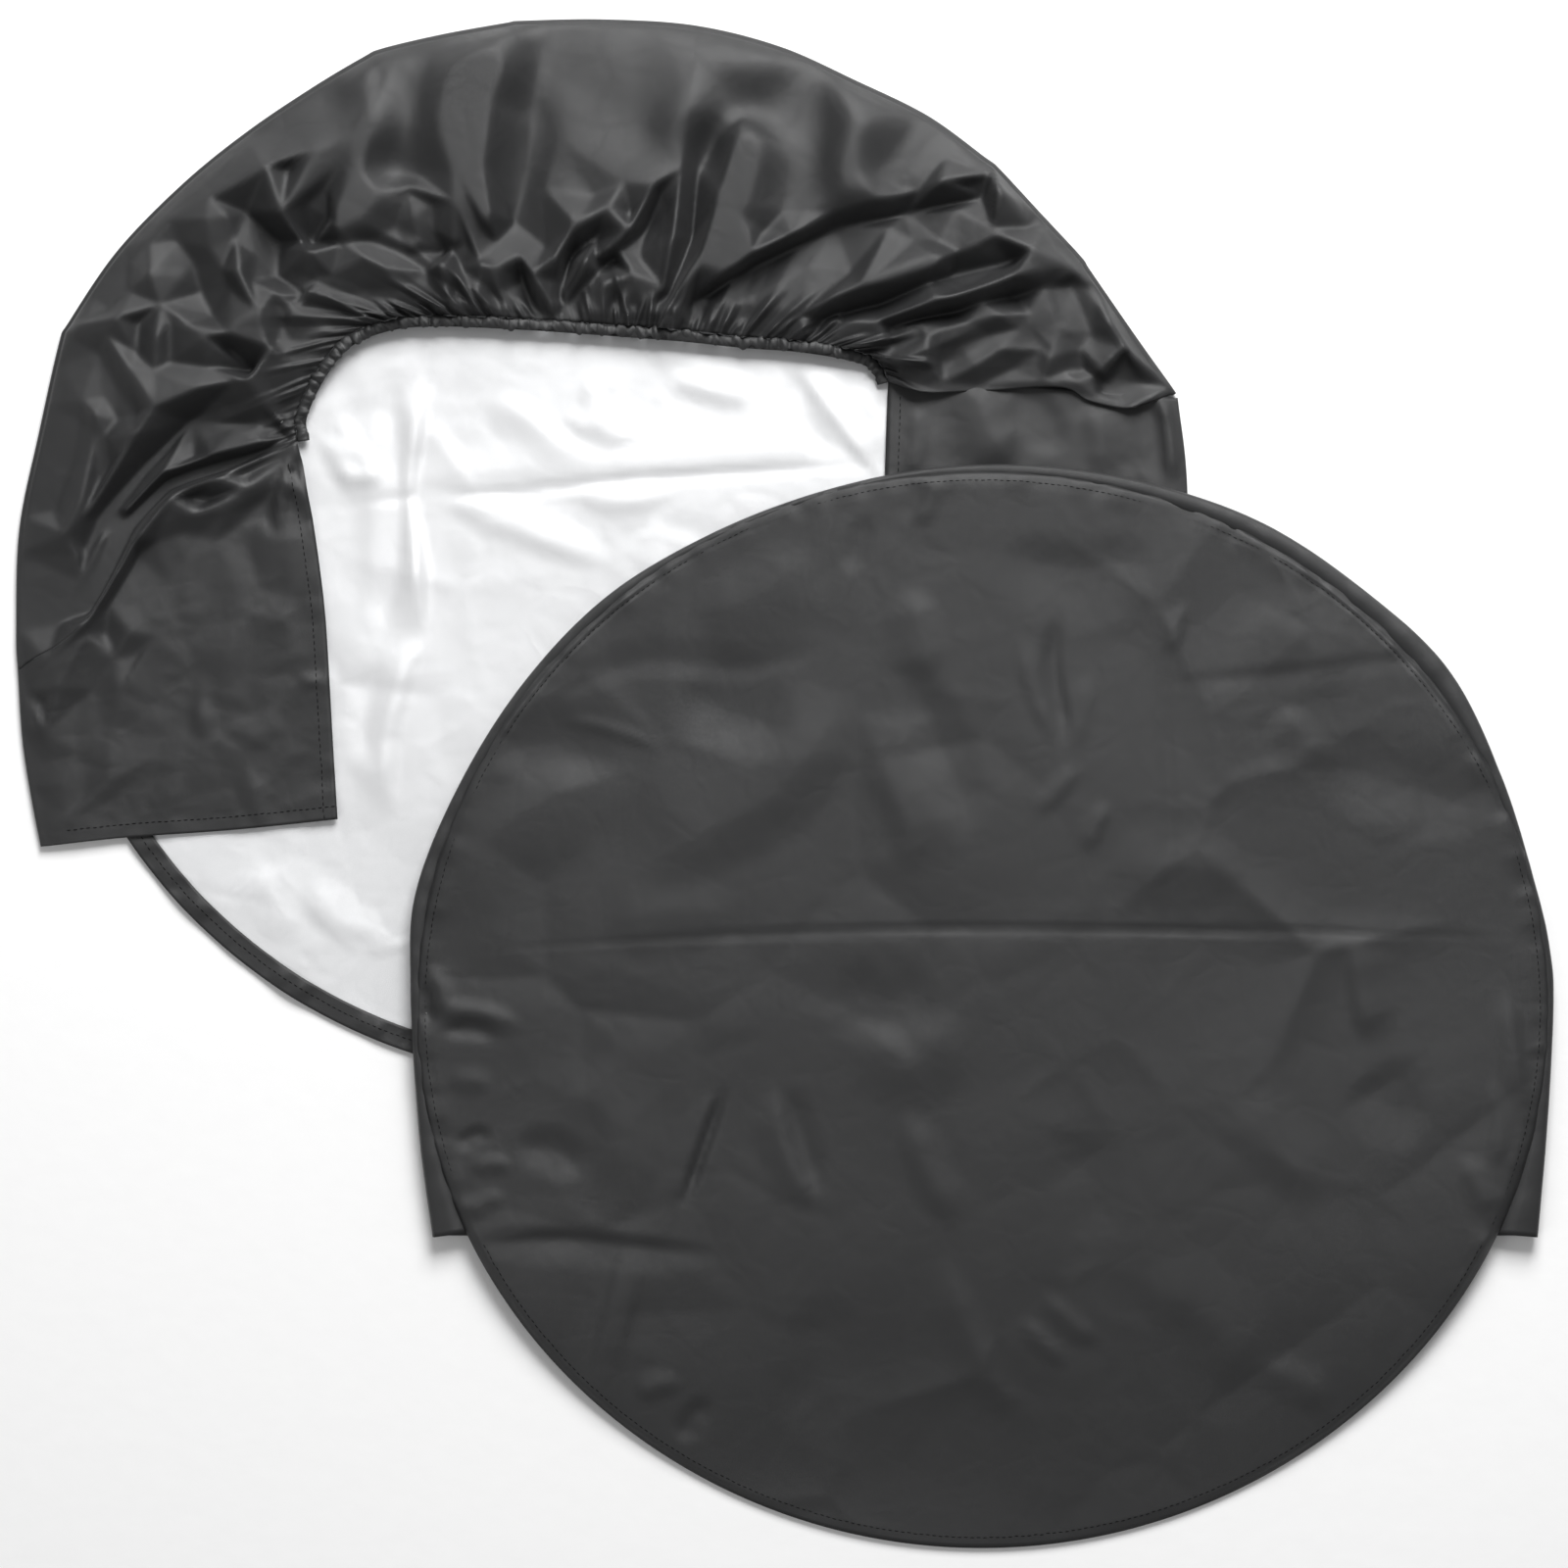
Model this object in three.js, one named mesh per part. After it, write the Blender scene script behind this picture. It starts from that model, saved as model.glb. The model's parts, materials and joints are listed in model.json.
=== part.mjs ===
// Wheel cover set: two alike soft covers for caravan wheels, one lying on the other.
// Millimetres, +Z up. The origin is on the floor, under the middle of the set.
//
// Each cover is drawn in a frame of its own, with its open side up: the round front panel lies at
// z = 0, and the side band is sewn to it round the back (+Y), runs out to a fold and turns back
// over the panel. The band's loose layer has five sections, counter-clockwise from the right:
// right flap, right shoulder, crown, left shoulder and left flap. Elastic gathers the inner edge
// of the middle three. The front arc of the panel (-Y) has no band, only a turned hem.
// The lower cover's left flap can be turned back at its free corner, along a straight crease.
// The lower cover lies as drawn. The upper cover is turned over, face up, and tilted a little.
import * as THREE from "three";

// ---- Cloth, stitching and elastic ----
const CLOTH = 1; // thickness that a layer of cloth is given
const GAP = 0.3; // clearance between pieces that touch
const CURVE_GAP = 1; // clearance between pieces that meet along a long curve
const CREASE_GAP = 0.8; // half the clearance along a crease that cloth turns on
const CORNER_CLEAR = 18; // length of hem left out where the crease meets an edge
const SKIRT_CLEAR = 2; // how far below its crease the free skirt's curved edge starts
const THREAD = 0.4; // height of a row of stitches
const ROW_WIDTH = 0.8;
const PANEL_HEM = 14; // turned hem on the free arc of the panel
const EDGE_HEM = 9; // turned hems on the band's ends and edges
const ALLOWANCE = 8; // seam allowance inside the panel
const TOPSTITCH_INSET = 6.3; // second row of stitches on the panel
const CUT = 0.02; // share of an outline point's spacing that a section stops short by
const CASING = { width: 10, height: 3.6, wall: 1 };
const ELASTIC = { width: 6, height: 1 };

// ---- Heights of the layers above the panel's lower face ----
const HEM_LEVEL = CLOTH + GAP;
const HEM_ROW_LEVEL = HEM_LEVEL + CLOTH + GAP;
const FLAP_HEM_LEVEL = HEM_ROW_LEVEL + THREAD + GAP;
const FLAP_LEVEL = FLAP_HEM_LEVEL + CLOTH + GAP;
const FLAP_ROW_LEVEL = FLAP_LEVEL + CLOTH + GAP;
const FOLD_HEIGHT = FLAP_LEVEL + CLOTH;

// ---- Looks ----
const LOOKS = {
  black: { color: 0x2b2c2e, roughness: 0.55, metalness: 0 },
  silver: { color: 0xe4e5e8, roughness: 0.35, metalness: 0.25 },
  thread: { color: 0x1b1b1d, roughness: 0.8, metalness: 0 },
  elastic: { color: 0x161617, roughness: 0.9, metalness: 0 },
};

// ---- How each cover lies ----
// The panel's edge is an ellipse with its own depth at the back and at the front. The band's
// sections are ruled between the curves through their outer and inner points.
const LOWER = {
  prefix: "lower",
  face: "silver",
  centre: [-128, 152.6, 0],
  turn: [0, 0, 0],
  radii: { x: 357, back: 343, front: 346 },
  seam: [-24, 212],
  outerFace: 1, // side of the cloth that its stitches are drawn on
  dish: 0,
  crown: { peak: 21, edgeLevel: 9 },
  outline: [
    [384, -150], [392, -40], [391, 45], [386, 102], [356, 141], [318, 193], [276, 240], [230, 279],
    [150, 317], [80, 340], [0, 347], [-80, 340], [-150, 316], [-216, 277], [-264, 239],
    [-308, 195], [-343, 140], [-360, 70], [-371, 13], [-373, -54], [-369, -124], [-357, -193],
  ],
  spans: {
    right_flap: [0, 3],
    right_shoulder: [3, 8],
    crown: [8, 12],
    left_shoulder: [12, 17],
    left_flap: [17, 21],
  },
  inner: {
    right_flap: [[189, -140], [192, -20], [194, 60], [195, 101.7]],
    right_shoulder: [[195, 102], [190, 121], [180, 129], [170, 131], [160, 132.5], [150, 133]],
    crown: [[149.6, 133], [102, 135], [13, 144], [-45, 147], [-102, 149], [-149.6, 138]],
    left_shoulder: [[-150, 138], [-158, 134], [-166, 126], [-176, 112], [-184, 92], [-189, 70]],
    left_flap: [[-189, 69], [-178, 13], [-170, -51], [-166, -114], [-163, -176]],
  },
  // The casing's middle line, with its height.
  casing: [
    [189, 99, 5], [184, 116, 6.4], [170, 122, 8], [150, 126, 9], [102, 129, 9], [13, 138, 9],
    [-45, 141, 9], [-102, 143, 9], [-148, 131, 9], [-162, 120, 8], [-172, 104, 6.4], [-182, 76, 5],
  ],
  corner: "left_flap",
};

const UPPER = {
  prefix: "upper",
  face: "black",
  centre: [129, -146.6, 16.5],
  turn: [THREE.MathUtils.degToRad(0.8), Math.PI, 0],
  radii: { x: 367, back: 349, front: 352 },
  seam: [-24, 204],
  outerFace: -1,
  dish: 8.9,
  skirtLine: -150,
  crown: { peak: 10, edgeLevel: 7.5 },
  outline: [
    [361, -149], [368, -78], [372, 0], [362, 75], [340, 147], [303, 206], [256, 257], [206, 295],
    [150, 324], [78, 347], [0, 354], [-78, 347], [-150, 324], [-206, 295], [-256, 257],
    [-303, 206], [-340, 147], [-362, 75], [-372, 0], [-368, -78], [-361, -149],
  ],
  spans: {
    right_flap: [0, 3],
    right_shoulder: [3, 8],
    crown: [8, 12],
    left_shoulder: [12, 17],
    left_flap: [17, 20],
  },
  inner: {
    right_flap: [[150, -149], [154, -78], [162, 0], [176, 74.7]],
    right_shoulder: [[176, 75], [174, 96], [170, 110], [164, 120], [158, 127], [150, 132]],
    crown: [[149.6, 132], [100, 139], [30, 143], [-30, 143], [-100, 139], [-149.6, 132]],
    left_shoulder: [[-150, 132], [-158, 127], [-164, 120], [-170, 110], [-174, 96], [-176, 75]],
    left_flap: [[-176, 74.7], [-162, 0], [-154, -78], [-150, -149]],
  },
  casing: [
    [169, 77, 5.4], [167, 96, 6], [158, 114, 6.8], [143, 126.5, 7.5], [100, 132.5, 7.5],
    [0, 137, 7.5], [-100, 132.5, 7.5], [-143, 126.5, 7.5], [-158, 114, 6.8], [-167, 96, 6],
    [-169, 77, 5.4],
  ],
};

// ---- Curves ----
const ramp = (t) => THREE.MathUtils.smoothstep(t, 0, 1);

function planCurve(points) {
  const spline = new THREE.SplineCurve(points.map(([x, y]) => new THREE.Vector2(x, y)));
  return (u) => {
    const p = spline.getPoint(u);
    return new THREE.Vector3(p.x, p.y, 0);
  };
}

function spaceCurve(points) {
  const spline = new THREE.CatmullRomCurve3(points.map((p) => new THREE.Vector3(...p)));
  return (u) => spline.getPoint(u);
}

function straight(a, b) {
  return (u) => a.clone().lerp(b, u);
}

function part(curve, from, to) {
  return (u) => curve(THREE.MathUtils.lerp(from, to, u));
}

// The panel's edge, as an arc between two angles in degrees.
function panelArc({ radii }, fromDegrees, toDegrees) {
  return (u) => {
    const angle = THREE.MathUtils.degToRad(THREE.MathUtils.lerp(fromDegrees, toDegrees, u));
    const depth = Math.sin(angle) > 0 ? radii.back : radii.front;
    return new THREE.Vector3(radii.x * Math.cos(angle), depth * Math.sin(angle), 0);
  };
}

// The unit vector to the left of a curve's direction, in plan.
function leftOf(curve, u) {
  const step = 1e-4;
  const ahead = curve(Math.min(u + step, 1));
  const behind = curve(Math.max(u - step, 0));
  const along = ahead.sub(behind).setZ(0).normalize();
  return new THREE.Vector3(-along.y, along.x, 0);
}

// ---- Solids ----
// A unit box whose points are placed by a function of (u, v, w), each from 0 to 1.
function slab(place, columns, rows) {
  const geometry = new THREE.BoxGeometry(1, 1, 1, columns, rows, 1);
  const position = geometry.getAttribute("position");
  for (let i = 0; i < position.count; i += 1) {
    const u = Math.round((position.getX(i) + 0.5) * columns) / columns;
    const v = Math.round((position.getY(i) + 0.5) * rows) / rows;
    const w = position.getZ(i) + 0.5;
    position.setXYZ(i, ...place(u, v, w));
  }
  geometry.computeVertexNormals();
  return geometry;
}

// A strip that follows a curve, from one offset on its left to another.
function strip(curve, offsets, level, height, steps, bend = () => 0) {
  const place = (u, v, w) => {
    const p = curve(u).addScaledVector(leftOf(curve, u), THREE.MathUtils.lerp(...offsets, v));
    return [p.x, p.y, p.z + level + bend(p.y) + w * height];
  };
  return slab(place, steps, 1);
}

// A section shape swept along a curve: its x to the curve's left, its y up.
function sweep(shape, curve, steps) {
  const geometry = new THREE.ExtrudeGeometry(shape, { depth: 1, steps, bevelEnabled: false });
  const position = geometry.getAttribute("position");
  for (let i = 0; i < position.count; i += 1) {
    const u = Math.round(position.getZ(i) * steps) / steps;
    const p = curve(u).addScaledVector(leftOf(curve, u), position.getX(i));
    position.setXYZ(i, p.x, p.y, p.z + position.getY(i));
  }
  geometry.computeVertexNormals();
  return geometry;
}

// A layer of cloth ruled between an outer and an inner curve.
function looseLayer(outer, inner, level, columns, rows) {
  const place = (u, v, w) => {
    const p = outer(u).lerp(inner(u), v);
    return [p.x, p.y, level(u, v) + w * CLOTH];
  };
  return slab(place, columns, rows);
}

function outlineShape(curve, count) {
  const points = [];
  for (let i = 0; i < count; i += 1) {
    const p = curve(i / (count - 1));
    points.push(new THREE.Vector2(p.x, p.y));
  }
  return new THREE.Shape(points);
}

function mesh(lay, name, geometry, look) {
  const made = new THREE.Mesh(geometry, new THREE.MeshStandardMaterial(LOOKS[look]));
  made.name = `${lay.prefix}_${name}`;
  return made;
}

// ---- Front panel, its hem and its seam ----
// The height that the panel's free front arc bends down to, towards what the cover lies on.
function bendOf(lay) {
  if (!lay.dish) return () => 0;
  const reach = lay.radii.front + lay.skirtLine;
  return (y) => lay.dish * ramp((lay.skirtLine - y) / reach);
}

// The angle at which the panel's front edge crosses a line across the cover.
function edgeAngle(lay, line) {
  return THREE.MathUtils.radToDeg(Math.asin(line / lay.radii.front));
}

function wholePanel(lay) {
  const rim = panelArc(lay, 0, 357);
  const geometry = new THREE.ExtrudeGeometry(outlineShape(rim, 96), {
    depth: CLOTH,
    bevelEnabled: false,
  });
  return [mesh(lay, "front_panel", geometry, lay.face)];
}

// The upper cover's panel, in two: the main part, and the free skirt in front of the band's ends.
function splitPanel(lay) {
  const mainAngle = edgeAngle(lay, lay.skirtLine + CREASE_GAP);
  const rim = panelArc(lay, mainAngle, 180 - mainAngle);
  const main = new THREE.ExtrudeGeometry(outlineShape(rim, 72), {
    depth: CLOTH,
    bevelEnabled: false,
  });
  const skirtTop = lay.skirtLine - CREASE_GAP;
  const skirtAngle = edgeAngle(lay, skirtTop - SKIRT_CLEAR);
  const arc = panelArc(lay, 180 - skirtAngle, 360 + skirtAngle);
  const bend = bendOf(lay);
  const place = (u, v, w) => {
    const p = arc(u);
    const y = THREE.MathUtils.lerp(p.y, skirtTop, v);
    return [p.x, y, bend(y) + w * CLOTH];
  };
  return [
    mesh(lay, "front_panel", main, lay.face),
    mesh(lay, "front_skirt", slab(place, 30, 6), lay.face),
  ];
}

function panelTrim(lay) {
  const [right, left] = lay.seam;
  const bend = bendOf(lay);
  const skirtAngle = edgeAngle(lay, (lay.skirtLine || 0) - 2 * SKIRT_CLEAR);
  const hemArc = lay.dish
    ? panelArc(lay, 180 - skirtAngle, 360 + skirtAngle)
    : panelArc(lay, left + 1, 360 + right - 1);
  const seamArc = panelArc(lay, right, left);
  const rowLevel = lay.outerFace > 0 ? HEM_ROW_LEVEL : -GAP - THREAD;
  const rowAt = (inset) => [inset - ROW_WIDTH / 2, inset + ROW_WIDTH / 2];
  return [
    mesh(lay, "panel_hem", strip(hemArc, [0, PANEL_HEM], HEM_LEVEL, CLOTH, 30, bend), "black"),
    mesh(lay, "hem_stitches",
      strip(hemArc, rowAt(PANEL_HEM / 2), rowLevel, THREAD, 30, bend), "thread"),
    mesh(lay, "seam_allowance", strip(seamArc, [1, ALLOWANCE], HEM_LEVEL, CLOTH, 40), "silver"),
    mesh(lay, "seam_stitches",
      strip(seamArc, [-ROW_WIDTH, 0], HEM_LEVEL, THREAD, 40), "thread"),
    mesh(lay, "topstitching",
      strip(seamArc, rowAt(TOPSTITCH_INSET), rowLevel, THREAD, 40), "thread"),
  ];
}

// ---- Side band ----
// The stretch of the band's outer fold between two of its outline points, cut short by a little
// of the points' spacing at both ends.
function foldLine({ outline }, [from, to], cut = 0) {
  const last = outline.length - 1;
  return part(planCurve(outline), (from + cut) / last, (to - cut) / last);
}

// The layer between the seam and the outer fold, and the fold itself.
function bandRoot(lay) {
  const outer = foldLine(lay, [0, lay.outline.length - 1]);
  const place = (u, v, w) => {
    const p = outer(u);
    const depth = p.y > 0 ? lay.radii.back : lay.radii.front;
    const scale = 1 / Math.hypot(p.x / lay.radii.x, p.y / depth);
    const edge = p.clone().multiplyScalar(scale);
    const out = p.clone().sub(edge).normalize();
    const near = edge.addScaledVector(out, CURVE_GAP);
    const far = p.addScaledVector(out, -GAP);
    const q = far.lerp(near, v);
    return [q.x, q.y, w * CLOTH];
  };
  const offsets = [-CURVE_GAP - CLOTH, -CURVE_GAP];
  const fold = strip(outer, offsets, 0, FOLD_HEIGHT, 60);
  return [
    mesh(lay, "band_underlay", slab(place, 50, 1), "black"),
    mesh(lay, "band_fold", fold, "black"),
  ];
}

// The crown rises from its outer fold to a soft peak and comes down to its gathered edge.
function crown(lay) {
  const { lerp } = THREE.MathUtils;
  const { peak, edgeLevel } = lay.crown;
  const top = 0.45; // where the crown is highest
  const level = (u, v) => {
    if (v < top) return lerp(FLAP_LEVEL, peak, Math.sin((v / top) * (Math.PI / 2)));
    return lerp(peak, edgeLevel + GAP, ramp((v - top) / (1 - top)));
  };
  const outer = foldLine(lay, lay.spans.crown, CUT);
  return mesh(lay, "crown", looseLayer(outer, planCurve(lay.inner.crown), level, 12, 9), "black");
}

// A shoulder rises from the height of the flap beside it to the height of the crown.
function shoulder(lay, name) {
  const outer = foldLine(lay, lay.spans[name], CUT);
  const inner = planCurve(lay.inner[name]);
  const { peak, edgeLevel } = lay.crown;
  const towardsCrown = name === "right_shoulder" ? (u) => u : (u) => 1 - u;
  const level = (u, v) => {
    const share = ramp(towardsCrown(u));
    const hill = Math.sin(Math.PI * Math.min(v, 0.999) ** 0.8);
    const edge = THREE.MathUtils.lerp(FLAP_LEVEL, edgeLevel + GAP, ramp(v) * share);
    return edge + (peak - edgeLevel) * 0.8 * hill * share;
  };
  return mesh(lay, name, looseLayer(outer, inner, level, 12, 6), "black");
}

// A flap, with the hems turned under its end and its inner edge, and their stitches on top.
function flap(lay, name) {
  const isRight = name === "right_flap";
  const outer = foldLine(lay, lay.spans[name], CUT);
  const inner = planCurve(lay.inner[name]);
  const endEdge = isRight ? straight(inner(0), outer(0)) : straight(outer(1), inner(1));
  const sideLength = inner(0).distanceTo(inner(1));
  const endLength = endEdge(0).distanceTo(endEdge(1));
  const hemShare = (EDGE_HEM * 1.7) / sideLength; // room for the end's hem at the corner
  const clear = lay.corner === name ? CORNER_CLEAR : 0;
  const sideEdge = isRight
    ? part(inner, hemShare, 1)
    : part(inner, clear / sideLength, 1 - hemShare);
  const endLine = part(endEdge, clear / endLength, 1);
  const row = [EDGE_HEM - ROW_WIDTH, EDGE_HEM];
  const sideRow = [-EDGE_HEM, ROW_WIDTH - EDGE_HEM];
  const layers = lay.corner === name
    ? turnedCorner(lay, name, outer, inner)
    : [mesh(lay, name, looseLayer(outer, inner, () => FLAP_LEVEL, 10, 1), "black")];
  return [
    ...layers,
    mesh(lay, `${name}_end_hem`, strip(endLine, [0, EDGE_HEM], FLAP_HEM_LEVEL, CLOTH, 4), "black"),
    mesh(lay, `${name}_side_hem`,
      strip(sideEdge, [-EDGE_HEM, 0], FLAP_HEM_LEVEL, CLOTH, 8), "black"),
    mesh(lay, `${name}_end_stitches`, strip(endLine, row, FLAP_ROW_LEVEL, THREAD, 4), "thread"),
    mesh(lay, `${name}_side_stitches`,
      strip(sideEdge, sideRow, FLAP_ROW_LEVEL, THREAD, 8), "thread"),
  ];
}

// The flap in two: the part beside the outer fold, and the free corner that turns back along a
// straight crease from the end of the fold to the top of the inner edge.
function turnedCorner(lay, name, outer, inner) {
  const crease = straight(outer(1), inner(0));
  const along = inner(0).sub(outer(1)).normalize();
  const across = new THREE.Vector3(along.y, -along.x, 0);
  const pointsOf = (curve, count, shift) => {
    const points = [];
    for (let i = 0; i < count; i += 1) {
      const p = curve(i / (count - 1)).addScaledVector(across, shift);
      points.push(new THREE.Vector2(p.x, p.y));
    }
    return points;
  };
  const flat = (points) => {
    const shape = new THREE.Shape(points);
    const geometry = new THREE.ExtrudeGeometry(shape, { depth: CLOTH, bevelEnabled: false });
    return geometry.translate(0, 0, FLAP_LEVEL);
  };
  const fixed = [...pointsOf(outer, 11, 0).slice(0, -1), ...pointsOf(crease, 2, -CREASE_GAP)];
  const free = [...pointsOf(crease, 2, CREASE_GAP).reverse(), ...pointsOf(inner, 11, 0)];
  return [
    mesh(lay, name, flat(fixed), "black"),
    mesh(lay, `${name}_corner`, flat(free.slice(1)), "black"),
  ];
}

// ---- Elastic in its casing ----
// The casing is cloth folded round the elastic, open towards the gathered layer.
function casingShape() {
  const { width, height, wall } = CASING;
  const half = width / 2;
  const points = [
    [-half, 0], [half, 0], [half, height], [-half, height],
    [-half, height - wall], [half - wall, height - wall], [half - wall, wall], [-half, wall],
  ];
  return new THREE.Shape(points.map(([x, y]) => new THREE.Vector2(x, y)));
}

function elasticShape() {
  const half = ELASTIC.width / 2;
  const low = CASING.wall + GAP;
  const high = low + ELASTIC.height;
  const points = [[-half, low], [half, low], [half, high], [-half, high]];
  return new THREE.Shape(points.map(([x, y]) => new THREE.Vector2(x, y)));
}

function gatheredEdge(lay) {
  const curve = spaceCurve(lay.casing);
  const steps = lay.casing.length * 2;
  return [
    mesh(lay, "casing", sweep(casingShape(), curve, steps), "black"),
    mesh(lay, "elastic", sweep(elasticShape(), curve, steps), "elastic"),
  ];
}

// ---- Whole covers ----
function cover(lay) {
  const group = new THREE.Group();
  group.add(
    ...(lay.dish ? splitPanel(lay) : wholePanel(lay)),
    ...panelTrim(lay),
    ...bandRoot(lay),
    ...flap(lay, "right_flap"),
    shoulder(lay, "right_shoulder"),
    crown(lay),
    shoulder(lay, "left_shoulder"),
    ...flap(lay, "left_flap"),
    ...gatheredEdge(lay),
  );
  group.position.set(...lay.centre);
  group.rotation.set(...lay.turn);
  return group;
}

const coverSet = new THREE.Group();
coverSet.add(cover(LOWER), cover(UPPER));

export default coverSet;
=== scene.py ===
# %% [markdown]
# # A set of two wheel covers, laid out flat
#
# A caravan's wheel cover is a sewn cloth bag: a round front panel, a deep side band that goes round
# the tyre, and elastic that gathers the band's free edge behind it. Here the lower cover lies open
# side up and shows its silver lining, and the second cover lies face up across it.
#
# Cloth is a thin surface, so almost everything in this lesson is a fine grid whose points are laid
# out by a rule and then lifted into folds. The packed model fixes the sizes and the places.

import json
import math

import bmesh
import bpy
import numpy as np
from mathutils import Matrix, Vector, geometry, noise


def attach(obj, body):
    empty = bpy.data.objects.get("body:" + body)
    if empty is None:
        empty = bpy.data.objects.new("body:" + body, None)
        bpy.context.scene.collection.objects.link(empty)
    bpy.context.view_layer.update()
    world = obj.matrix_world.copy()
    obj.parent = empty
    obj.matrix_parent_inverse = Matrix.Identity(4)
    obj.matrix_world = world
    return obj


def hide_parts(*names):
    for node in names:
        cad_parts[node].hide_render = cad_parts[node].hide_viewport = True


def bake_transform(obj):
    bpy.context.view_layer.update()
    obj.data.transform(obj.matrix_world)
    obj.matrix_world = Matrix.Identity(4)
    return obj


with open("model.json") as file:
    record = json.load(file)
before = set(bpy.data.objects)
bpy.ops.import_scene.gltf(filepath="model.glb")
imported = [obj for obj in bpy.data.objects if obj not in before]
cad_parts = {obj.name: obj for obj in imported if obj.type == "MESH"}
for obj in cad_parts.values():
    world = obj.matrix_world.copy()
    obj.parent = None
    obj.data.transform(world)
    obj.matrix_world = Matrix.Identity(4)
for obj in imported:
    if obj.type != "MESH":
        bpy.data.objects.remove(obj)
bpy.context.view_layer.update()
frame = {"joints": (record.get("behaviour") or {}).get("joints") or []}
MM = 0.001

# %% [markdown]
# ## Camera
#
# The set is seen from straight above. A long lens from three metres keeps the far and near edges
# at nearly the same scale, so that both discs can be compared.

# %% Camera
CAMERA_HEIGHT = 3.0
VIEW_WIDTH = 1.024
SENSOR = 36.0

camera_data = bpy.data.cameras.new("camera")
camera_data.sensor_width = SENSOR
camera_data.lens = SENSOR * CAMERA_HEIGHT / VIEW_WIDTH
camera = bpy.data.objects.new("camera", camera_data)
camera.location = (0, 0, CAMERA_HEIGHT)
bpy.context.collection.objects.link(camera)
bpy.context.scene.camera = camera
print("lens, mm:", round(camera_data.lens, 1))

# %% [markdown]
# ## Writing shaders as sums
#
# A node graph for cloth is mostly arithmetic: a mask times a strength, plus a little noise. This
# small class wraps a socket so that Python's own operators add the Math nodes.


# %% Shader helper
class Wire:
    def __init__(self, tree, socket):
        self.tree, self.socket = tree, socket

    def node(self, kind, settings=None, values=None, output=0):
        made = self.tree.nodes.new(kind)
        for key, value in (settings or {}).items():
            setattr(made, key, value)
        for key, value in (values or {}).items():
            if isinstance(value, Wire):
                self.tree.links.new(value.socket, made.inputs[key])
            else:
                made.inputs[key].default_value = value
        return Wire(self.tree, made.outputs[output])

    def maths(self, operation, a, b=0.0):
        return self.node("ShaderNodeMath", {"operation": operation}, {0: a, 1: b})

    def __add__(self, other):
        return self.maths("ADD", self, other)

    def __mul__(self, other):
        return self.maths("MULTIPLY", self, other)

    def __sub__(self, other):
        return self.maths("SUBTRACT", self, other)

    def __rsub__(self, other):
        return self.maths("SUBTRACT", other, self)

    __radd__ = __add__
    __rmul__ = __mul__


print("operators that add nodes:", [name for name in vars(Wire) if name.startswith("__r")])

# %% [markdown]
# ### Starting and closing a material
#
# Every material starts as an empty node tree and closes with one Principled shader.


# %% Material helper
def new_material(name):
    material = bpy.data.materials.new(name)
    material.use_nodes = True
    material.node_tree.nodes.clear()
    return material, Wire(material.node_tree, None)


def finish_material(kit, settings):
    shader = kit.node("ShaderNodeBsdfPrincipled", None, settings)
    output = kit.tree.nodes.new("ShaderNodeOutputMaterial")
    kit.tree.links.new(shader.socket, output.inputs["Surface"])
    print("nodes in this material:", len(kit.tree.nodes))


# %% [markdown]
# ## Coated cloth
#
# The outer face is a black woven polyester with a waxy shine. Three things make it: a weave of
# about three threads to the millimetre, small handling creases of one or two centimetres, and slow
# changes of shine where the coating has rubbed. The weave follows the cloth, so it reads the
# sheet's own UV map, which holds metres. The inner face has a silver coating that is smoother and
# shows finer, sharper creases.

# %% Cloth materials
THREAD_PITCH = 0.00035


def weave(kit, strength):
    uv = kit.node("ShaderNodeUVMap")
    turns = math.tau / THREAD_PITCH
    parts = kit.node("ShaderNodeSeparateXYZ", None, {0: uv})
    across = Wire(kit.tree, parts.socket.node.outputs["X"])
    along = Wire(kit.tree, parts.socket.node.outputs["Y"])
    threads = kit.maths("SINE", across * turns) * kit.maths("SINE", along * turns)
    return threads * strength


def crease_net(kit, cell, seed, sharpness):
    """Fine creases: the borders between cells, bent by noise so that none is straight."""
    place = kit.node("ShaderNodeTexCoord", None, None, "Object")
    wander = kit.node("ShaderNodeTexNoise", {"noise_dimensions": "3D"},
                      {"Vector": place, "Scale": 0.7 / cell, "Detail": 3.0}, "Color")
    pushed = kit.node("ShaderNodeVectorMath", {"operation": "MULTIPLY_ADD"},
                      {0: wander, 1: (cell * 1.3,) * 3, 2: place})
    moved = kit.node("ShaderNodeVectorMath", {"operation": "ADD"}, {0: pushed, 1: (seed,) * 3})
    cells = kit.node("ShaderNodeTexVoronoi", {"feature": "DISTANCE_TO_EDGE"},
                     {"Vector": moved, "Scale": 1 / cell}, "Distance")
    return kit.node("ShaderNodeMapRange", {"interpolation_type": "SMOOTHSTEP"},
                    {"Value": cells, "From Max": sharpness})


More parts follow.
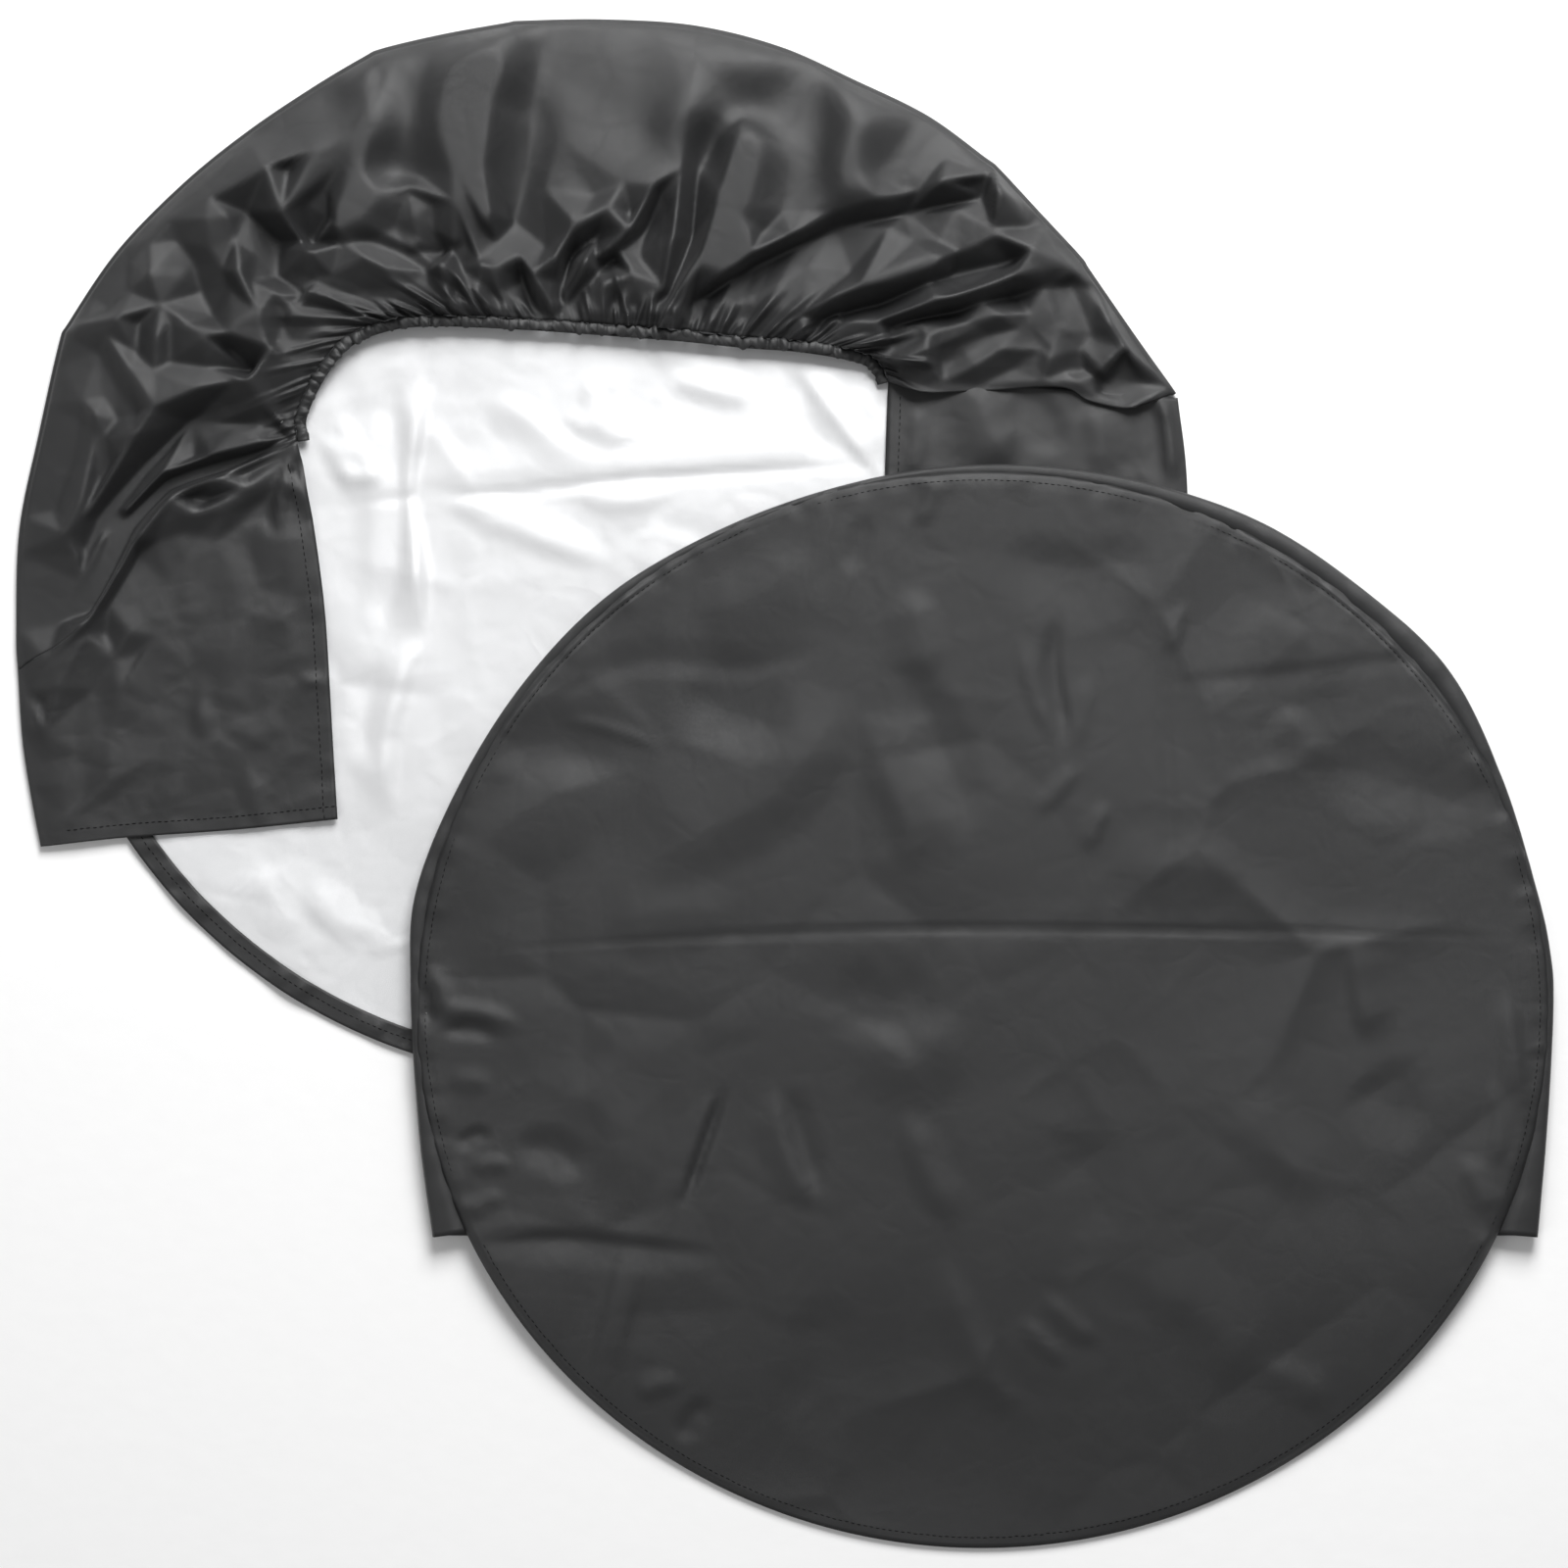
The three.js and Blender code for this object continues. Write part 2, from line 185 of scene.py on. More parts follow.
def cloth(name, colour, light_colour, roughness, settings, crease_depth, cell):
    material, kit = new_material(name)
    place = kit.node("ShaderNodeTexCoord", None, None, "Object")
    slow = kit.node("ShaderNodeTexNoise", None, {"Vector": place, "Scale": 9.0, "Detail": 4.0})
    fine = kit.node("ShaderNodeTexNoise", None, {"Vector": place, "Scale": 900.0, "Detail": 2.0})
    net = crease_net(kit, cell, 3.1, 0.18)
    small = crease_net(kit, cell * 0.4, 7.7, 0.22)
    tone = kit.node("ShaderNodeMix", {"data_type": "RGBA"},
                    {0: slow * 0.7 + fine * 0.3, 6: (*colour, 1), 7: (*light_colour, 1)}, 2)
    height = net * crease_depth + small * (crease_depth * 0.35) + weave(kit, 0.00002) \
        + fine * 0.00002
    bump = kit.node("ShaderNodeBump", None, {"Strength": 1.0, "Distance": 1.0, "Height": height})
    finish_material(kit, {
        "Base Color": tone, "Normal": bump,
        "Roughness": slow * 0.12 + (1 - net) * 0.05 + (roughness - 0.06), **settings})
    return material


black = cloth("black_cloth", (0.0115, 0.0118, 0.0125), (0.017, 0.0173, 0.018), 0.50,
              {"Specular IOR Level": 0.6, "Sheen Weight": 0.04, "Sheen Roughness": 0.4},
              0.00006, 0.03)
silver = cloth("silver_lining", (0.70, 0.705, 0.715), (0.76, 0.765, 0.775), 0.36,
               {"Metallic": 0.2, "Specular IOR Level": 0.5}, 0.00010, 0.05)
print("materials:", black.name, silver.name)

# %% [markdown]
# ## Thread, elastic and floor
#
# The sewing thread is a little duller than the cloth, and darker: black thread whose colour is
# darkened further as painted shade of the small ditch that the stitches press into the cloth. The
# elastic is a ribbed knit: fine ribs across its width.


# %% Thread, elastic and floor materials
def plain_fibre(name, colour, light_colour, roughness, scale, depth, shine):
    material, kit = new_material(name)
    place = kit.node("ShaderNodeTexCoord", None, None, "Object")
    fibres = kit.node("ShaderNodeTexNoise", None, {"Vector": place, "Scale": scale, "Detail": 3.0})
    tone = kit.node("ShaderNodeMix", {"data_type": "RGBA"},
                    {0: fibres, 6: (*colour, 1), 7: (*light_colour, 1)}, 2)
    bump = kit.node("ShaderNodeBump", None, {"Distance": depth, "Height": fibres})
    finish_material(kit, {
        "Base Color": tone, "Normal": bump, "Roughness": fibres * 0.1 + roughness,
        "Specular IOR Level": shine})
    return material


# The thread's colour is partly its own black and partly painted shade of the stitch ditch.
thread = plain_fibre("thread", (0.002, 0.002, 0.0022), (0.005, 0.005, 0.0055), 0.8, 3000, 0.0001, 0.1)
elastic = plain_fibre("elastic", (0.009, 0.009, 0.01), (0.03, 0.03, 0.03), 0.8, 1500, 0.0002, 0.3)
paper = plain_fibre("studio_paper", (0.94, 0.94, 0.94), (0.96, 0.96, 0.96), 0.75, 60, 0.0002, 0.2)


# %% [markdown]
# ## Lines through points
#
# Every edge of a soft cover is a smooth line through a few places. This helper returns a function
# of 0 to 1 whose steps are even along the line, which is how a gathered edge shares out its cloth.


# %% Line helper
def line_through(points):
    knots = np.array(points, float)
    padded = np.vstack([2 * knots[0] - knots[1], knots, 2 * knots[-1] - knots[-2]])
    t = np.linspace(0, 1, 24, endpoint=False)[:, None]
    runs = []
    for a, b, c, d in zip(padded, padded[1:], padded[2:], padded[3:]):
        cubic = 2 * b + (c - a) * t + (2 * a - 5 * b + 4 * c - d) * t ** 2
        runs.append((cubic + (3 * b - a - 3 * c + d) * t ** 3) / 2)
    fine = np.vstack([*runs, knots[-1:]])
    travelled = np.concatenate([[0], np.cumsum(np.linalg.norm(np.diff(fine, axis=0), axis=1))])
    length = travelled[-1]

    def line(u):
        u = np.asarray(u, float) * length
        return np.stack([np.interp(u, travelled, axis) for axis in fine.T], -1)

    line.length = length
    return line


def left_of(line, u):
    """The unit vector to the left of a line's direction, in plan."""
    step = 0.012
    along = line(np.clip(u + step, 0, 1)) - line(np.clip(u - step, 0, 1))
    along = along[..., :2]
    along = along / np.linalg.norm(along, axis=-1, keepdims=True)
    return np.stack([-along[..., 1], along[..., 0]], -1)


def ease(t):
    t = np.clip(t, 0, 1)
    return t * t * (3 - 2 * t)


quarter = line_through([(0, 0), (100, 0), (100, 100)])
print("a smooth line round a 100 mm corner measures, mm:", round(quarter.length))

# %% [markdown]
# ## Folds
#
# A fold in coated cloth is a line with two slopes, often one steep and one broad. Each fold here
# is one entry: its rise in millimetres (negative for a valley), the widths of the slopes on the
# left and the right of its line, and the line. A cloth simulation would make its own folds, but not
# these ones, so they are placed one by one like strokes of a sculpting brush.


# %% Fold helper
FOLD_SPREAD = 1.35  # every slope is this much wider than its entry says
FADE_SHARE, END_RISE = 0.36, 0.12  # how far along a fold it swells, and how it starts at its ends
NARROWEST = 0.55  # width of a slope at the fold's ends, as a share of its full width


def folds_at(x, y, folds, roundness=1.5):
    height = np.zeros_like(x)
    for rise, left, right, path in folds:
        left, right = left * FOLD_SPREAD, right * FOLD_SPREAD
        line = line_through(path)
        steps = max(2, 4 * (len(path) - 1))
        points = line(np.linspace(0, 1, steps + 1))
        reach = max(left, right)
        low, high = points.min(0) - reach, points.max(0) + reach
        inside = np.flatnonzero((x > low[0]) & (x < high[0]) & (y > low[1]) & (y < high[1]))
        if not len(inside):
            continue
        place = np.stack([x[inside], y[inside]], -1)
        nearest = np.full(len(inside), np.inf)
        width = np.ones(len(inside))
        share = np.zeros(len(inside))
        for index, (a, b) in enumerate(zip(points, points[1:])):
            along = b - a
            t = np.clip(((place - a) @ along) / (along @ along), 0, 1)
            off = place - a - t[:, None] * along
            distance = np.linalg.norm(off, axis=1)
            closer = distance < nearest
            side = along[0] * off[:, 1] - along[1] * off[:, 0]
            width[closer] = np.where(side > 0, left, right)[closer]
            share[closer] = ((index + t) / steps)[closer]
            nearest[closer] = distance[closer]
        fade = ease(share / FADE_SHARE + END_RISE) * ease((1 - share) / FADE_SHARE + END_RISE)
        q = np.clip(nearest / (width * (NARROWEST + (1 - NARROWEST) * fade)), 0, 1)
        height[inside] += rise * fade * (1 - q) ** 2 * (1 + roundness * q)
    return height


def facets_at(x, y, cell, seed):
    """Crumpling: nearly flat facets with creases between them, some up and some down."""
    height = np.empty_like(x)
    for index, (a, b) in enumerate(zip(x / cell, y / cell)):
        near, second = noise.voronoi((a, b, seed))[0][:2]
        t = min((second - near) / 0.5, 1)
        height[index] = t * (2 - t) * noise.noise((a * 0.6, b * 0.6, seed + 5))
    return height


print("a fold's slopes narrow at its ends to this share:", NARROWEST)


# %% [markdown]
# ### A net of facets
#
# Crisp coated cloth does not bend in soft rolls: it breaks into nearly flat faces that meet in
# sharp edges. So the fold lines become the edges of a net of flat triangles. A ridge point is
# high, a valley point is low, the foot of each slope is level, and a constrained Delaunay
# triangulation joins them all. The net is sampled once on an even raster and softened a little.

# %% Facet net
END_HEIGHT = 0.4  # height of a fold's end in the net, as a share of its rise
FOOT_PLACES = (0.3, 0.75)  # where along a fold its slopes get a foot
MERGE_DISTANCE, ON_LINE = 1.5, 0.8  # mm


def net_of(folds, quiet, clearance=10):
    spots, rises, edges = [], [], []
    for rise, left, right, path in folds:
        first = len(spots)
        for index, place in enumerate(path):
            spots.append(place)
            rises.append(rise * (END_HEIGHT if index in (0, len(path) - 1) else 1))
        edges += [(index, index + 1) for index in range(first, len(spots) - 1)]
    for rise, left, right, path in folds:
        line = line_through(path)
        for t in FOOT_PLACES:
            for width, way in ((left, 1), (right, -1)):
                foot = line(t) + way * width * FOLD_SPREAD * left_of(line, t)
                if np.linalg.norm(np.array(spots) - foot, axis=1).min() > clearance:
                    spots.append(tuple(foot))
                    rises.append(0)
    for place in quiet:
        if np.linalg.norm(np.array(spots) - place, axis=1).min() > clearance / 2:
            spots.append(tuple(place))
            rises.append(0)
    made = geometry.delaunay_2d_cdt([Vector(spot) for spot in spots], edges, [], 0,
                                     MERGE_DISTANCE)
    corners, faces, came_from = made[0], made[2], made[3]
    height = []
    for corner, sources in zip(corners, came_from):
        if sources:
            height.append(np.mean([rises[source] for source in sources]))
            continue
        crossing = []
        for a, b in edges:
            along = Vector(spots[b]) - Vector(spots[a])
            t = (corner - Vector(spots[a])).dot(along) / max(along.dot(along), 1e-9)
            if 0 <= t <= 1 and (corner - Vector(spots[a]) - along * t).length < ON_LINE:
                crossing.append(rises[a] + (rises[b] - rises[a]) * t)
        height.append(np.mean(crossing) if crossing else 0)
    return [[(*corners[index], height[index]) for index in face] for face in faces]


def net_map(net, low, high, cell=1.5, softenings=2):
    """The height of a net of triangles as a function of x and y, sampled on a raster."""
    x, y = np.meshgrid(np.arange(low[0], high[0], cell), np.arange(low[1], high[1], cell), indexing="ij")
    raster = np.zeros(x.shape)
    for a, b, c in net:
        twice = (b[1] - c[1]) * (a[0] - c[0]) + (c[0] - b[0]) * (a[1] - c[1])
        if abs(twice) < 1e-6:
            continue
        start = [int((min(a[k], b[k], c[k]) - low[k]) / cell) for k in (0, 1)]
        stop = [int((max(a[k], b[k], c[k]) - low[k]) / cell) + 2 for k in (0, 1)]
        window = tuple(slice(max(s, 0), max(e, 0)) for s, e in zip(start, stop))
        p = ((b[1] - c[1]) * (x[window] - c[0]) + (c[0] - b[0]) * (y[window] - c[1])) / twice
        q = ((c[1] - a[1]) * (x[window] - c[0]) + (a[0] - c[0]) * (y[window] - c[1])) / twice
        inside = (p >= -1e-6) & (q >= -1e-6) & (p + q <= 1.000001)
        flat = p * a[2] + q * b[2] + (1 - p - q) * c[2]
        raster[window] = np.where(inside, flat, raster[window])
    for _ in range(softenings):
        for axis in (0, 1):
            raster = (np.roll(raster, 1, axis) + 2 * raster + np.roll(raster, -1, axis)) / 4

    def height(x, y):
        i = np.clip((x - low[0]) / cell, 0, raster.shape[0] - 1.001)
        j = np.clip((y - low[1]) / cell, 0, raster.shape[1] - 1.001)
        column, row = i.astype(int), j.astype(int)
        f, g = i - column, j - row
        near = raster[column, row] * (1 - g) + raster[column, row + 1] * g
        far = raster[column + 1, row] * (1 - g) + raster[column + 1, row + 1] * g
        return near * (1 - f) + far * f

    return height


print("slopes are spread by", FOLD_SPREAD, "and merged within, mm:", MERGE_DISTANCE)

# %% [markdown]
# ## Sheets
#
# A sheet starts as Blender's own grid. A rule then lays each point at its place, from its shares
# `u` and `v` of the cloth's width and length, and a Solidify modifier gives it two faces: the top
# one keeps the first material and the lower one takes the second.


# %% Sheet helper
CLOTH = 0.5  # thickness of a layer, mm


def sheet_of(name, columns, rows, lay, looks, size, body=None, nodes=(), thick=CLOTH,
             turned=False):
    grid = bmesh.new()
    grid.loops.layers.uv.new("weave")
    bmesh.ops.create_grid(grid, x_segments=columns, y_segments=rows, size=0.5, calc_uvs=True)
    mesh = bpy.data.meshes.new(name)
    grid.to_mesh(mesh)
    grid.free()
    count = len(mesh.vertices)
    flat = np.empty(count * 3)
    mesh.vertices.foreach_get("co", flat)
    u, v = flat.reshape(-1, 3)[:, 0] + 0.5, flat.reshape(-1, 3)[:, 1] + 0.5
    laid = lay(u, v)
    mesh.vertices.foreach_set("co", (laid * MM).ravel())
    corners = np.empty(len(mesh.loops), dtype=np.int32)
    mesh.loops.foreach_get("vertex_index", corners)
    uv = np.stack([u * size[0], v * size[1]], -1)[corners]
    mesh.uv_layers["weave"].data.foreach_set("uv", uv.ravel())
    if turned:
        mesh.flip_normals()
    mesh.shade_smooth()
    for look in looks:
        mesh.materials.append(look)
    piece = bpy.data.objects.new(name, mesh)
    bpy.context.collection.objects.link(piece)
    if thick:
        wall = piece.modifiers.new("thickness", "SOLIDIFY")
        wall.thickness = thick * MM
        wall.offset = -1
        wall.material_offset = len(looks) - 1
    if body:
        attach(piece, body)
    if nodes:
        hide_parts(*nodes)
    print(f"{name}: {count} points, {laid[:, 2].min():.1f} to {laid[:, 2].max():.1f} mm high")
    return piece


# %% [markdown]
# ## The lower cover's panel
#
# The round panel lies on the floor with its silver face up. It was folded in four in its packet,
# so one long crease crosses it, and a slack wrinkle runs down beside the left flap. A square grid
# squeezed into a circle keeps all its cells about the same size, which a polar grid would not.

# %% Wrinkles of the silver side
LOWER_CENTRE = np.array([-128.0, 152.6])
LOWER_RADII = (357.0, 343.0, 346.0)  # half width, depth behind the middle, depth in front

SILVER_FOLDS = [
    (6.5, 7, 30, [(-236, 262), (-240, 236), (-246, 200), (-243, 160), (-238, 120), (-236, 96)]),
    (-5.0, 12, 16, [(-256, 262), (-252, 225), (-250, 180), (-252, 140), (-262, 100)]),
    (3.6, 10, 18, [(-236, 96), (-252, 66), (-262, 20), (-256, -20)]),
    (-2.6, 16, 12, [(-262, 84), (-272, 40), (-268, 6)]),
    (-1.5, 4, 5, [(-300, 178), (-250, 187), (-180, 190), (-110, 198), (-20, 204), (66, 209)]),
    (1.0, 16, 12, [(-300, 190), (-200, 203), (-100, 210), (66, 222)]),
    (2.2, 16, 5, [(10, 272), (28, 246), (52, 214), (66, 200)]),
    (-1.8, 9, 12, [(4, 270), (14, 240), (34, 212)]),
    (2.0, 18, 9, [(-72, 262), (-44, 256), (-20, 250)]),
    (1.8, 12, 8, [(-146, 240), (-112, 228), (-92, 230)]),
    (1.7, 10, 14, [(-196, 252), (-170, 240), (-150, 224), (-128, 214)]),
    (1.8, 18, 9, [(-226, 188), (-180, 168), (-140, 152), (-112, 142)]),
    (1.6, 12, 9, [(-140, 190), (-110, 184), (-70, 190)]),
    (1.6, 12, 12, [(40, 262), (60, 240), (64, 214)]),
    (1.8, 8, 14, [(-290, 240), (-282, 222), (-270, 206), (-262, 190)]),
    (1.8, 12, 7, [(-302, 226), (-288, 206), (-280, 186)]),
    (1.4, 7, 7, [(-296, 206), (-276, 200), (-262, 206)]),
    (1.6, 6, 10, [(-120, 270), (-124, 250), (-110, 228)]),
    (1.3, 20, 14, [(-90, 150), (-60, 120), (-20, 96)]),
    (1.4, 24, 12, [(-310, -60), (-290, -90), (-250, -100)]),
    (1.2, 14, 22, [(-350, -52), (-330, -80), (-318, -104)]),
]


print("wrinkles on the silver side:", len(SILVER_FOLDS))

# %% [markdown]
# Both covers' panels are made by the same rule: a disc that is a little deeper on one side.


# %% Lower panel
def disc(u, v, centre, radii):
    a, b = 2 * u - 1, 2 * v - 1
    depth = np.where(b > 0, radii[1], radii[2])
    x = centre[0] + radii[0] * a * np.sqrt(1 - b * b / 2)
    y = centre[1] + depth * b * np.sqrt(1 - a * a / 2)
    return x, y


def rim_share(x, y, centre, radii):
    depth = np.where(y > centre[1], radii[1], radii[2])
    return np.hypot((x - centre[0]) / radii[0], (y - centre[1]) / depth)


def lower_panel_height(x, y):
    loose = ease((1 - rim_share(x, y, LOWER_CENTRE, LOWER_RADII)) / 0.05) * 0.85 + 0.15
    crumpled = 3.0 * facets_at(x, y, 90, 1.0) + 0.7 * facets_at(x, y, 34, 4.0)
    return 1.6 + loose * (folds_at(x, y, SILVER_FOLDS) + crumpled)


def lay_lower_panel(u, v):
    x, y = disc(u, v, LOWER_CENTRE, LOWER_RADII)
    return np.stack([x, y, np.maximum(lower_panel_height(x, y), 0.7)], -1)


PANEL_SIZE = (0.72, 0.70)
lower_panel = sheet_of("lower_panel", 210, 210, lay_lower_panel, [silver, black], PANEL_SIZE,
                       "lower_cover", ["lower_front_panel"])

# %% [markdown]
# ## The lower cover's side band
#
# The band leaves the panel's seam, turns up at the outer fold and comes back over the panel. In
# the middle its free edge is gathered by elastic, so all its cloth has to squeeze into a line less
# than half as long: small pleats at the elastic join into a few big folds that fan out to the rim.
# The grid's columns run as those folds do, from even steps along the rim to even steps along the
# elastic.

# %% Lines of the lower band
RIM = [
    (256, 255), (229, 293), (200, 335), (194, 344), (168, 372), (141, 401), (131, 409), (94, 436),
    (47, 459), (-2, 481), (-58, 495), (-118, 499), (-171, 498), (-182, 496.5),
    (-224, 489), (-262, 480), (-275, 474), (-307, 455), (-350, 426), (-392, 392), (-435, 348),
    (-467, 301), (-473, 288), (-486, 230), (-499, 166), (-501, 99), (-500, 75),
]
ELASTIC_EDGE = [
    (68, 262), (64, 272), (51, 281), (13, 288), (-26, 291), (-64, 295), (-115, 299),
    (-173, 303), (-230, 305), (-262, 301), (-288, 289), (-306, 266), (-318, 240), (-317, 223),
]
ROLLED_EDGE = [(256, 255), (227, 245), (200, 249), (180, 258), (128, 256), (90, 255), (68, 262)]
LEFT_OUTLINE = [(-500, 75), (-491, -10), (-485, -41), (-430, -35), (-360, -30), (-291, -23), (-297, 80),
                (-306, 165), (-317, 223)]
CORNER_RIDGE = [(-500, 75), (-454, 105), (-420, 160), (-399, 186), (-369, 199), (-317, 223)]

rim = line_through(RIM)
elastic_edge = line_through(ELASTIC_EDGE)
rolled_edge = line_through(ROLLED_EDGE)
corner_ridge = line_through(CORNER_RIDGE)
print("rim, mm:", round(rim.length), " elastic edge, mm:", round(elastic_edge.length))

# %% [markdown]
# Each entry in the next cells is one fold that can be named on the cover. The left shoulder comes
# first, where the folds cross each other.

# %% Folds of the left shoulder
LEFT_SHOULDER = [
    (7, 7, 26, [(-270, 478), (-272, 447), (-280, 420), (-284, 405)]),
    (10, 16, 12, [(-256, 470), (-266, 428), (-275, 393), (-289, 364), (-287, 351)]),
    (8, 22, 16, [(-284, 407), (-302, 410), (-335, 399), (-372, 380), (-398, 366)]),
    (7, 18, 14, [(-284, 405), (-325, 370), (-307, 345), (-293, 330)]),
    (5, 5, 16, [(-372, 380), (-374, 366), (-372, 348)]),
    (8, 12, 18, [(-361, 368), (-353, 332), (-340, 305), (-330, 286)]),
    (7, 14, 12, [(-404, 311), (-432, 302), (-462, 298)]),
    (6, 10, 14, [(-404, 311), (-411, 330), (-413, 350)]),
    (8, 12, 20, [(-404, 311), (-375, 290), (-345, 266), (-336, 258)]),
    (7, 14, 9, [(-398, 300), (-360, 292), (-333, 283), (-316, 270)]),
    (6, 12, 10, [(-404, 311), (-406, 290), (-408, 268)]),
    (6, 9, 14, [(-287, 351), (-272, 341), (-258, 334), (-250, 320)]),
    (8, 12, 16, [(-282, 351), (-272, 370), (-262, 382), (-240, 386), (-213, 376), (-198, 340)]),
    (-5, 10, 8, [(-266, 400), (-250, 396), (-236, 394)]),
    (5, 10, 10, [(-243, 384), (-240, 368), (-237, 352)]),
    (-5, 7, 9, [(-245, 345), (-220, 346), (-206, 352)]),
    (-9, 20, 20, [(-350, 372), (-330, 352), (-308, 352), (-296, 368)]),
    (-6, 14, 12, [(-385, 340), (-380, 320), (-372, 305)]),
    (-6, 12, 12, [(-345, 345), (-330, 330), (-312, 318)]),
    (8, 16, 10, [(-318, 224), (-349, 262), (-380, 256), (-408, 244), (-420, 226), (-456, 172)]),
    (5, 9, 9, [(-459, 149), (-468, 163), (-456, 186), (-447, 227)]),
    (-6, 11, 12, [(-330, 232), (-387, 236), (-418, 204), (-442, 176), (-456, 150)]),
    (6, 12, 10, [(-318, 224), (-340, 222), (-372, 214), (-404, 202), (-428, 178)]),
    (-7, 10, 9, [(-322, 226), (-362, 207), (-400, 196), (-426, 170), (-451, 113)]),
    (9, 9, 14, [(-317, 223), (-369, 199), (-399, 186), (-420, 160), (-454, 105), (-478, 80)]),
    (4, 8, 8, [(-456, 249), (-447, 240), (-441, 226)]),
    (5, 10, 10, [(-318, 226), (-340, 250), (-372, 270)]),
    (-5, 8, 9, [(-322, 236), (-346, 268), (-362, 282)]),
    (4, 12, 9, [(-470, 294), (-440, 292), (-424, 268), (-420, 240)]),
    (4, 8, 12, [(-300, 330), (-318, 308), (-322, 288)]),
    (5, 8, 8, [(-306, 300), (-330, 318), (-345, 326)]),
]
print("folds on the left shoulder:", len(LEFT_SHOULDER))

# %% [markdown]
# On the crown the folds are longer and run from the elastic towards the rim.

# %% Folds of the crown
CROWN = [
    (13, 30, 20, [(-176, 497), (-190, 466), (-206, 444), (-202, 410), (-193, 370), (-184, 335)]),
    (-6, 14, 12, [(-160, 470), (-164, 436), (-168, 394), (-176, 366), (-170, 330), (-160, 305)]),
    (7, 16, 18, [(-230, 470), (-222, 430), (-212, 400), (-198, 362)]),
    (7, 12, 9, [(-153, 312), (-164, 330), (-172, 342)]),
    (9, 10, 14, [(-151, 314), (-146, 342), (-134, 362), (-114, 372), (-104, 390)]),
    (10, 15, 10, [(-150, 312), (-128, 338), (-100, 358), (-84, 388), (-72, 403)]),
    (-7, 9, 10, [(-146, 316), (-140, 342), (-122, 356)]),
    (-6, 9, 10, [(-142, 312), (-112, 342), (-90, 362), (-80, 384)]),
    (12, 26, 16, [(-22, 470), (-28, 428), (-40, 378), (-52, 340), (-68, 308)]),
    (8, 12, 22, [(-56, 470), (-62, 436), (-66, 398), (-72, 352), (-78, 322)]),
    (-8, 10, 10, [(-26, 432), (-44, 418), (-56, 400), (-60, 356), (-74, 318)]),
    (9, 12, 16, [(-69, 306), (-40, 330), (-22, 342), (6, 356), (34, 372)]),
    (6, 10, 7, [(-90, 308), (-98, 330), (-108, 346)]),
    (6, 8, 10, [(-118, 306), (-116, 324), (-124, 340)]),
    (7, 9, 11, [(-200, 312), (-196, 336), (-206, 352)]),
    (8, 22, 12, [(-216, 312), (-222, 336), (-214, 352)]),
]
print("folds on the crown:", len(CROWN))

# %% [markdown]
# The right shoulder leans over the right flap, so its folds turn to run along the rolled edge.

# %% Folds of the right shoulder
RIGHT_SHOULDER = [
    (10, 36, 12, [(31, 462), (46, 430), (40, 396), (33, 377)]),
    (9, 12, 14, [(33, 372), (60, 379), (101, 390), (134, 396)]),
    (-8, 11, 14, [(-60, 314), (-20, 338), (33, 362), (80, 372), (130, 382)]),
    (12, 26, 14, [(134, 408), (138, 384), (136, 356)]),
    (9, 10, 12, [(136, 360), (160, 346), (190, 332)]),
    (9, 9, 12, [(10, 305), (50, 322), (99, 338), (136, 358)]),
    (-8, 9, 9, [(20, 302), (60, 312), (110, 332), (150, 340)]),
    (9, 10, 10, [(60, 300), (99, 313), (150, 330), (188, 336)]),
    (-7, 9, 10, [(70, 298), (110, 308), (150, 318), (186, 326)]),
    (8, 26, 10, [(205, 322), (212, 300), (222, 282), (256, 258)]),
    (5, 10, 14, [(222, 280), (206, 268), (190, 262)]),
    (-5, 9, 12, [(232, 262), (212, 260), (196, 270)]),
    (7, 7, 9, [(90, 290), (93, 274), (88, 260)]),
    (5, 8, 9, [(78, 262), (80, 276), (92, 290), (104, 296)]),
    (5, 12, 9, [(104, 262), (124, 272), (140, 282), (166, 282)]),
    (4, 7, 9, [(168, 262), (172, 276), (178, 296)]),
    (4, 8, 8, [(120, 300), (140, 304), (152, 296)]),
]
BAND_FOLDS = LEFT_SHOULDER + CROWN + RIGHT_SHOULDER
print("folds on the right shoulder:", len(RIGHT_SHOULDER))

# %% [markdown]
# The shoulder's folds carry on into the left flap, so the flap's folds share one net with them.
# A second copy of the net, softened much more, serves the crown's outer half, where the cloth is
# pulled nearly smooth.

